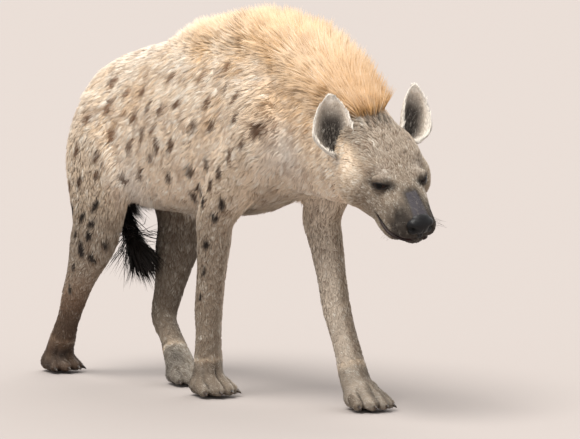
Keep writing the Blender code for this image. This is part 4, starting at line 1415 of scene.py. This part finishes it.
def tuft_mesh(name, points, normals):
    """All the spindles as one mesh. Its shading normals lean towards the skin's, so it reads as one coat."""
    count = len(points) // 5
    faces = (np.arange(count)[:, None, None] * 5 + SPINDLE[None]).reshape(-1, 3)
    mesh = bpy.data.meshes.new(name)
    mesh.vertices.add(len(points))
    mesh.vertices.foreach_set("co", points.astype(np.float32).ravel())
    mesh.loops.add(len(faces) * 3)
    mesh.loops.foreach_set("vertex_index", faces.astype(np.int32).ravel())
    mesh.polygons.add(len(faces))
    mesh.polygons.foreach_set("loop_start", np.arange(0, len(faces) * 3, 3, dtype=np.int32))
    mesh.update(calc_edges=True)
    mesh.shade_smooth()
    soft = SKIN_NORMAL_SHARE * np.repeat(normals, 5, 0) + (1 - SKIN_NORMAL_SHARE) * normals_of(mesh)
    mesh.normals_split_custom_set_from_vertices(unit(soft).tolist())
    return mesh, faces


def grow(name, grown, finish, slot, seed, **style):
    """One piece of coat from its roots: all its tufts in a single mesh, their tips drawn into locks."""
    grown["normals"] = unit(grown["normals"])
    places = grown["points"]
    count = len(places)
    points, lock = tuft_points(grown, seed, **style)
    mesh, faces = tuft_mesh(name, points, grown["normals"])
    chart = unwrap(places, grown["share"])
    spots = (chart[:, None, :] + CHART_SPINDLE[None]).reshape(-1, 2)
    layer = mesh.uv_layers.new(name="OFBake")
    layer.uv.foreach_set("vector", spots[faces.ravel()].astype(np.float32).ravel())
    chance = rng.normal(0.0, 0.22, count)
    chance = 0.5 + grown["bias"] + 0.75 * chance + 0.55 * chance[lock] + 0.10 * ripple(places, 0.02, seed + 4)
    along = np.tile(SPINDLE_ALONG, count)
    chance = np.repeat(np.clip(chance, 0, 1), 5)
    write_masks(mesh, np.repeat(grown["tints"], 5, 0), np.repeat(grown["marks"], 5, 0), chance, along)
    print(name, count, "tufts")
    return add_piece(name, mesh, finish, slot)


# %% [markdown]
# ## The coat, region by region
# Regions differ in how dense and how fine their tufts are: fine and short on the face and feet,
# broad and long on the flank. Each region is its own piece, so that none grows too heavy.

# %% Regions
points, normals = points_of(skin), normals_of(skin)
way, length, lift, _, share = lie_of(points)
local = in_head(points)
sideways = ramp(np.abs(normals[:, 1]), 0.15, 0.8) * share_of(share, "trunk", "neck")
way = way + np.outer(sideways, (0.0, 0.0, -0.95))
bare = np.clip(marks[:, 2] * ramp(local[:, 0], 0.01, 0.03) * share_of(share, "head"), 0, 1)
nose = bump(local, NOSE_PAD[0], [1.25 * r for r in NOSE_PAD[1]])
ear_front = bump(folded(local), (-0.115, 0.080, 0.030), (0.040, 0.035, 0.045))
fringe = bump(folded(points), (-0.235, 0.09, 0.420), (0.050, 0.05, 0.045))
length = length * (1 - 0.45 * bare) * (1 - 0.62 * ear_front) * (1 + 0.8 * fringe)
lift = lift * (1 - 0.5 * ear_front)
surface = surface_of(
    skin, way=way, length=length, lift=lift, share=share, tints=tints, marks=marks, bias=bias,
)
head_share = share_of(share, "head")
leg_share = share_of(share, *LEG_PARTS)
paw_share = share_of(share, *PAW_PARTS)
tail_share = share_of(share, "tail")
sole = ramp(points[:, 2], 0.004, 0.010)

REGIONS = {
    "coat_head": (head_share > 0.5, 300000, 0.0012),
    "coat_paws": ((paw_share > 0.5) & (head_share <= 0.5), 175000, 0.0015),
    "coat_fore_legs": ((leg_share > 0.5) & (points[:, 0] > -0.1), 118000, 0.0020),
    "coat_hind_legs": ((leg_share > 0.5) & (points[:, 0] <= -0.1), 104000, 0.0021),
}
rest = (head_share <= 0.5) & (paw_share <= 0.5) & (leg_share <= 0.5)
tail_region = rest & (tail_share > 0.5)
rest &= ~tail_region
REGIONS["coat_neck_right"] = (rest & (points[:, 0] > 0.17) & (points[:, 1] <= 0), 165000, 0.0021)
REGIONS["coat_neck_left"] = (rest & (points[:, 0] > 0.17) & (points[:, 1] > 0), 90000, 0.0027)
trunk_zones = ((-0.9, -0.2), (-0.2, 0.17))
for (start, end), place in zip(trunk_zones, ("rear", "middle")):
    here = rest & (points[:, 0] > start) & (points[:, 0] <= end)
    REGIONS[f"coat_{place}_right"] = (here & (points[:, 1] <= 0), 155000, 0.0021)
    REGIONS[f"coat_{place}_left"] = (here & (points[:, 1] > 0), 80000, 0.0029)

print("regions", list(REGIONS))


# %% Grow each region
def eye_openings(local):
    """Where no hair grows between the lids."""
    inside = np.zeros(len(local), bool)
    for side, _ in SIDES:
        centre, look, level, upright = eye_axes(side)
        away = local - centre
        b = away @ upright
        t, edge = opening(away @ level, b, longer=1.12)
        inside |= (away @ look > 0) & (t < 1) & (np.abs(b) < edge + 0.0022)
    return inside


COAT_SLOTS = {
    "coat_head": "face", "coat_paws": "paw", "coat_fore_legs": "leg_coat", "coat_hind_legs": "leg_coat",
}
for number, (name, (where, dense, wide)) in enumerate(REGIONS.items()):
    cover = where.astype(float) * dense * sole
    if name == "coat_head":
        cover *= (1 - ramp(nose, 0.34, 0.52)) * (1 - 0.5 * bare)
        cover *= ~eye_openings(local)
    seeded = roots(surface, cover)
    finer = np.clip(seeded["length"] / 0.012, 0.55, 1.0) if name in ("coat_head", "coat_paws") else 1.0
    seeded["width"] = wide * finer * np.ones(len(seeded["length"]))
    short = name in ("coat_head", "coat_paws")
    grow(name, seeded, COAT_FINISH, COAT_SLOTS.get(name, "body_coat"), seed=30 + 5 * number,
         gather=0.22 if short else 0.60, clump=0.18 if short else 0.35, tufts_each=8 if short else 16)

# %% [markdown]
# ## Mane and tail brush
# The mane runs from the crown to the middle of the back and stands nearly upright, leaning back a
# little, so its tufts get a way of their own: up and back rather than along the skin. The tail's
# brush hangs from its lower half, long and black.

# %% Mane
def mane_length(x):
    places = (-0.30, -0.16, 0.00, 0.12, 0.30, 0.42, 0.52, 0.56)
    lengths = (0.028, 0.044, 0.060, 0.076, 0.078, 0.068, 0.048, 0.026)
    return np.interp(x, places, lengths)


middle = -0.03 * np.clip((points[:, 0] - 0.25) / 0.27, 0, 1)
off = np.abs(points[:, 1] - middle)
front = np.interp(off, (0.0, 0.03, 0.06, 0.10), (0.520, 0.503, 0.465, 0.425))
crest = ramp(-off, -0.095, -0.015) * ramp(points[:, 0], -0.36, 0.02) * ramp(front - points[:, 0], 0.0, 0.02)
crest *= 1 - ramp(off, 0.030, 0.052) * ramp(points[:, 0], 0.40, 0.44)
crest *= ramp(normals[:, 2], 0.15, 0.5) * ramp(points[:, 2], 0.52, 0.58) * (1 - ramp(head_share, 0.4, 0.7))
mane = dict(surface)
mane["length"] = mane_length(points[:, 0]) * (0.36 + 0.64 * ramp(crest, 0.1, 0.9))
mane["lift"] = np.radians(16 + 48 * ramp(crest, 0.1, 0.9))
mane["way"] = np.tile((-1.0, 0.0, 0.0), (len(points), 1)) + np.outer(ramp(off, 0.02, 0.08), (0.0, 0.0, -0.5))
fore, golden = ramp(points[:, 0], 0.30, 0.46), ramp(points[:, 0], -0.30, 0.0)
mane_gold = np.maximum(tints[:, 1], (0.7 + 0.3 * fore) * golden * ramp(crest, 0.1, 0.7))
mane["tints"] = np.column_stack([tints[:, 0] * (1 - 0.7 * golden), mane_gold, tints[:, 2] * 0.2])
rusty = np.maximum(marks[:, 0], 0.30 * fore)
mane["marks"] = np.column_stack([rusty, marks[:, 1] * (1 - fore), marks[:, 2]])
mane["bias"] = bias - 0.14 * golden - 0.06 * fore
for end, (start, stop) in {"fore": (0.17, 0.60), "rear": (-0.35, 0.17)}.items():
    here = crest * (points[:, 0] > start) * (points[:, 0] <= stop)
    grow("mane_" + end, roots(mane, here * 385000), MANE_FINISH, "mane", width=0.0022, thick=0.0008,
         curl=0.10, clump=0.30, sink=0.10, seed=90, tufts_each=22, gather=0.45)

# %% Tail
hang = dict(surface)
low = 1 - ramp(points[:, 2], 0.40, 0.56)
hang["length"] = 0.034 + 0.096 * low
hang["lift"] = np.radians(14 - 6 * low)
black = ramp(low, 0.05, 0.45)
hang["marks"] = marks + black[:, None] * (1 - marks)
hang["bias"] = bias - 0.3 * black
brush_roots = roots(hang, tail_region * (220000 + 800000 * low))
grow("tail_brush", brush_roots, MANE_FINISH, "tail_brush", width=0.0026, thick=0.0010,
     curl=0.10, clump=0.22, seed=110, tufts_each=40, gather=0.55)

# %% Skin and ear pieces
add_piece("skin", skin, SKIN_FINISH, "body_coat", *FLESH)
for side, word in SIDES:
    mesh, height, rim, inside = ear_mesh(side)
    points = points_of(mesh)
    normals = normals_of(mesh)
    hollow = inside * (1 - ramp(rim, 0.22, 0.74)) * (1 - ramp(height, 0.55, 0.92))
    border = np.maximum(ramp(rim, 0.52, 0.84), ramp(height, 0.80, 0.94))
    ear_tints = np.column_stack([np.maximum(border, 0.36 * inside), 0 * rim, 0.70 * (1 - border)])
    ear_marks = np.column_stack([0 * rim, 0 * rim, np.clip(0.97 * hollow + 0.15 * (1 - inside), 0, 1)])
    write_masks(mesh, ear_tints, ear_marks, np.full(len(points), 0.5), np.full(len(points), 0.5))
    mesh.shade_smooth()
    up = np.tile(np.array(ear_place(side).to_3x3() @ Vector((0, 0, 1))), (len(points), 1))
    ear_share = np.zeros((len(points), len(PARTS)))
    ear_share[:, PARTS.index("head")] = 1.0
    edge = np.maximum(ramp(rim, 0.80, 0.98), ramp(height, 0.90, 0.99))
    ear_length = 0.006 + 0.003 * edge + 0.008 * inside * (1 - height)
    fur = surface_of(
        mesh, way=up, length=ear_length, lift=np.radians(14 + 12 * edge), share=ear_share,
        tints=ear_tints, marks=ear_marks * 0.88, bias=0.40 * edge,
    )
    grow(f"ear_hair_{word}", roots(fur, 170000 * (1 + 1.6 * edge) * (1 - 0.5 * hollow)), COAT_FINISH, "ear",
         width=0.0013, thick=0.0005, seed=130)
    add_piece(f"ear_cup_{word}", mesh, SKIN_FINISH, "ear", f"ear_{word}")

# %% [markdown]
# ## Eyes and lids
# The hyena's eye is dark brown and wet. It is a ball with a small bulge for the cornea, drawn out a
# little along its opening, and the lids are two rims that follow its curve along an almond shape.

# %% Eyes, nose, lips and claws: materials
def bare_material(name, colour, roughness, scale, patch_colour, bump_size=0.0004, coat=0.0):
    made = plain_material(name, colour, roughness)
    tree = made.node_tree
    shader = tree.nodes["Principled BSDF"]
    patch = spread(tree, raise_grain(tree, scale, 0.35, 0.5, bump_size), 0.35, 0.7)
    link(tree, mix_colour(tree, patch, colour, patch_colour), shader.inputs["Base Color"])
    shader.inputs["Specular IOR Level"].default_value = 0.25
    shader.inputs["Coat Weight"].default_value = coat
    shader.inputs["Coat Roughness"].default_value = 0.12
    return made


def eye_material():
    made = plain_material("wet_eye", linear(30, 18, 12), 0.20)
    tree = made.node_tree
    shader = tree.nodes["Principled BSDF"]
    out = attribute(tree, "off_axis", "Fac")
    iris = mix_colour(tree, spread(tree, out, 0.34, 0.40), linear(5, 4, 4), linear(34, 21, 14))
    colour = mix_colour(tree, spread(tree, out, 0.62, 0.72), iris, linear(26, 18, 15))
    link(tree, colour, shader.inputs["Base Color"])
    shader.inputs["Specular IOR Level"].default_value = 0.10
    shader.inputs["Coat Weight"].default_value = 0.06
    shader.inputs["Coat Roughness"].default_value = 0.04
    return made


EYE_FINISH = eye_material()
LID_FINISH = bare_material("bare_lid", linear(16, 13, 12), 0.50, 500.0, linear(30, 24, 21), coat=0.05)
NOSE_FINISH = bare_material(
    "nose_leather", linear(6, 5, 7), 0.42, 900.0, linear(15, 14, 17), bump_size=0.0006, coat=0.06
)
LIP_FINISH = bare_material("dark_lip", linear(16, 9, 8), 0.45, 500.0, linear(52, 26, 20), coat=0.10)
CLAW_FINISH = bare_material("blunt_claw", linear(38, 30, 26), 0.35, 260.0, linear(78, 64, 52), coat=0.2)


print("bare finishes", [m.name for m in (EYE_FINISH, LID_FINISH, NOSE_FINISH, LIP_FINISH, CLAW_FINISH)])


# %% Eyeballs and lids
def eyeball(side):
    centre, look, level, upright = eye_axes(side)
    form = bmesh.new()
    bmesh.ops.create_uvsphere(form, u_segments=48, v_segments=32, radius=1.0)
    turn = Vector(look).to_track_quat("Z", "Y").to_matrix()
    off = []
    for vert in form.verts:
        angle = math.acos(max(-1.0, min(1.0, vert.co.z)))
        off.append(angle)
        swell = 1 + 0.055 * math.exp(-((angle / 0.55) ** 2))
        place = turn @ vert.co * EYE_RADIUS * swell
        wide = place.dot(Vector(level)) * (EYE_STRETCH - 1)
        vert.co = Vector(centre) + place + Vector(level) * wide
    form.transform(HEAD_FRAME)
    mesh = mesh_of(form)
    write_field(mesh, "off_axis", off)
    mesh.shade_smooth()
    return mesh


def tube(path, radii, sides=10, frame_out=None):
    """A tapered tube along points, closed at both ends."""
    path = np.array(path)
    ways = unit(np.gradient(path, axis=0))
    across, up = circle(sides)
    rings = []
    for point, way, radius in zip(path, ways, radii):
        out = Vector((0, 0, 1)) if frame_out is None else Vector(frame_out)
        side = out.cross(Vector(way)).normalized()
        over = Vector(way).cross(side)
        rings.append([Vector(point) + (side * a + over * b) * radius for a, b in zip(across, up)])
    return loft(rings)


def lid_rims(side):
    centre, look, level, upright = eye_axes(side)
    rims = []
    for edge in (LID_RISE, -LID_DROP):
        path, radii = [], []
        for t in np.linspace(-1.08, 1.08, 25):
            a, b = LID_HALF_LENGTH * t, edge * max(1 - t * t, 0) + (0.0006 if edge > 0 else -0.0004)
            reach = EYE_RADIUS + 0.0006
            depth = math.sqrt(max(reach**2 - (a / EYE_STRETCH) ** 2 - b * b, 1e-8))
            path.append(centre + level * a + upright * b + look * depth)
            radii.append((0.0015 if edge > 0 else 0.0011) * (1 - 0.55 * abs(t) ** 3))
        rims.append(tube(path, radii, frame_out=look))
    mesh = smooth_one(rims)
    mesh.transform(HEAD_FRAME)
    return mesh


for side, word in SIDES:
    add_piece(f"eyeball_{word}", eyeball(side), EYE_FINISH, "eye", f"eye_{word}")
    add_piece(f"lids_{word}", lid_rims(side), LID_FINISH, "face")

# %% [markdown]
# ## Nose, lips and claws
# The nose pad is bare black leather with comma-shaped nostrils, so it is built from balls at a much
# finer voxel than the skin, with the nostrils and the groove between them pressed in. The lips
# are dark rims that lie along the mouth's line on the skin.

# %% Nose
def nose_mesh():
    forms = [ball(*NOSE_PAD), ball((0.090, 0.0, -0.017), (0.020, 0.022, 0.011))]
    for side, _ in SIDES:
        forms.append(ball(mirrored((0.099, 0.0165, -0.031), side), (0.0175, 0.0145, 0.0170)))
    forms.append(ball((0.101, 0.0, -0.050), (0.010, 0.009, 0.012)))
    mesh = fused(forms, 0.0013, 8)
    points = points_of(mesh)
    normals = normals_of(mesh)
    both = folded(points)
    nostril = bump(both, NOSTRIL, (0.0110, 0.0080, 0.0072))
    push = -0.0135 * nostril
    push -= 0.0060 * bump(both, (0.1030, 0.0285, -0.0360), (0.0090, 0.0050, 0.0030))
    groove = ramp(-points[:, 2], 0.022, 0.034) * ramp(points[:, 0], 0.095, 0.105)
    push -= 0.0022 * np.exp(-((points[:, 1] / 0.0014) ** 2)) * groove
    push += 0.0010 * bump(both, (0.1130, 0.0170, -0.0210), (0.010, 0.008, 0.004))
    set_points(mesh, points + normals * push[:, None])
    write_field(mesh, "nostril", np.clip(1.7 * nostril, 0, 1))
    mesh.transform(HEAD_FRAME)
    mesh.shade_smooth()
    return mesh


# Painted shade: the nostril holes made near black and rough.
def paint_nostril_shade(material):
    tree = material.node_tree
    taken = tree.nodes["Principled BSDF"].inputs["Base Color"]
    before = taken.links[0].from_socket
    mask = attribute(tree, "nostril", "Fac")
    link(tree, mix_colour(tree, mask, before, linear(4, 3, 3)), taken)
    rough = math_node(tree, "ADD", math_node(tree, "MULTIPLY", mask, 0.55), 0.40)
    link(tree, rough, tree.nodes["Principled BSDF"].inputs["Roughness"])


paint_nostril_shade(NOSE_FINISH)
add_piece("nose_pad", nose_mesh(), NOSE_FINISH, "face")

# %% Lips
skin_corners = [tuple(face.vertices) for face in skin.polygons]
skin_tree = BVHTree.FromPolygons([tuple(p) for p in points_of(skin)], skin_corners)


def lip_path(drop):
    """The mouth's line on the skin, from one corner round the front to the other."""
    line = smooth_rows(MOUTH_LINE[:-1], 6)
    inverse = HEAD_FRAME.to_3x3()
    paths = {}
    for side, _ in SIDES:
        path = []
        for x, z in line:
            start = HEAD_FRAME @ Vector((x, side * 0.12, z + drop)) + SHIFT
            found = skin_tree.ray_cast(start, (inverse @ Vector((0, -side, 0))).normalized())
            if found[0] is not None:
                path.append(found[0] - SHIFT)
        paths[side] = path
    return paths


def lips():
    meshes = []
    for drop, radius in ((0.0022, 0.0024), (-0.0036, 0.0034)):
        paths = lip_path(drop)
        for side, _ in SIDES:
            radii = [radius * (0.35 + 0.65 * min(1.0, k / 6)) for k in range(len(paths[side]))]
            meshes.append(tube([tuple(p) for p in paths[side]], radii))
    return smooth_one(meshes)


add_piece("lips", lips(), LIP_FINISH, "face")


# %% Claws
CLAW_LENGTH, CLAW_RADIUS = 0.019, 0.0045


def claw_meshes(name):
    spot = paw_frame(name)
    meshes = []
    for knuckle, tip, _, _ in TOES:
        for side in (-1, 1):
            first, second = mirrored(knuckle, side), mirrored(tip, side)
            way = ((second - first) * Vector((1, 1, 0))).normalized()
            level = Vector((0, 0, 1)).cross(way)
            rings = []
            for t in np.linspace(0, 1, 9):
                reach = 0.008 + (t - 0.25) * CLAW_LENGTH
                point = second + way * reach - Vector((0, 0, 0.30 * t * t * CLAW_LENGTH))
                half = CLAW_RADIUS * (1 - 0.75 * t**1.6)
                ring = [point + (level * a + Vector((0, 0, 1.2 * b))) * half for a, b in zip(*circle(12))]
                rings.append(ring)
            meshes.append(moved(loft(rings), spot))
    return smooth_one(meshes)


for name in LEGS:
    add_piece("claws_" + name, claw_meshes(name), CLAW_FINISH, "paw")

# %% [markdown]
# ## Whiskers
# A few stiff hairs stand out from the upper lip. They are the only hairs seen singly, so each is a
# thin tube that bends back under its own weight.

# %% Whiskers
WHISKERS = 11
WHISKER_BEND = Vector((-0.006, 0.0, -0.008))


def whisker_mesh():
    meshes = []
    for side, _ in SIDES:
        for k in range(WHISKERS):
            place = mirrored((0.056 + 0.010 * (k % 4), 0.038, -0.040 - 0.006 * (k // 4)), side)
            way = mirrored((0.20 + 0.10 * rng.normal(), 0.9, -0.35 + 0.20 * rng.normal()), side).normalized()
            length = rng.uniform(0.024, 0.042)
            path = [place + way * length * t + WHISKER_BEND * t * t for t in np.linspace(0, 1, 6)]
            meshes.append(tube([tuple(HEAD_FRAME @ p) for p in path], np.linspace(0.00035, 0.00010, 6), 4))
    return smooth_one(meshes)


add_piece("whiskers", whisker_mesh(), CLAW_FINISH, "face")
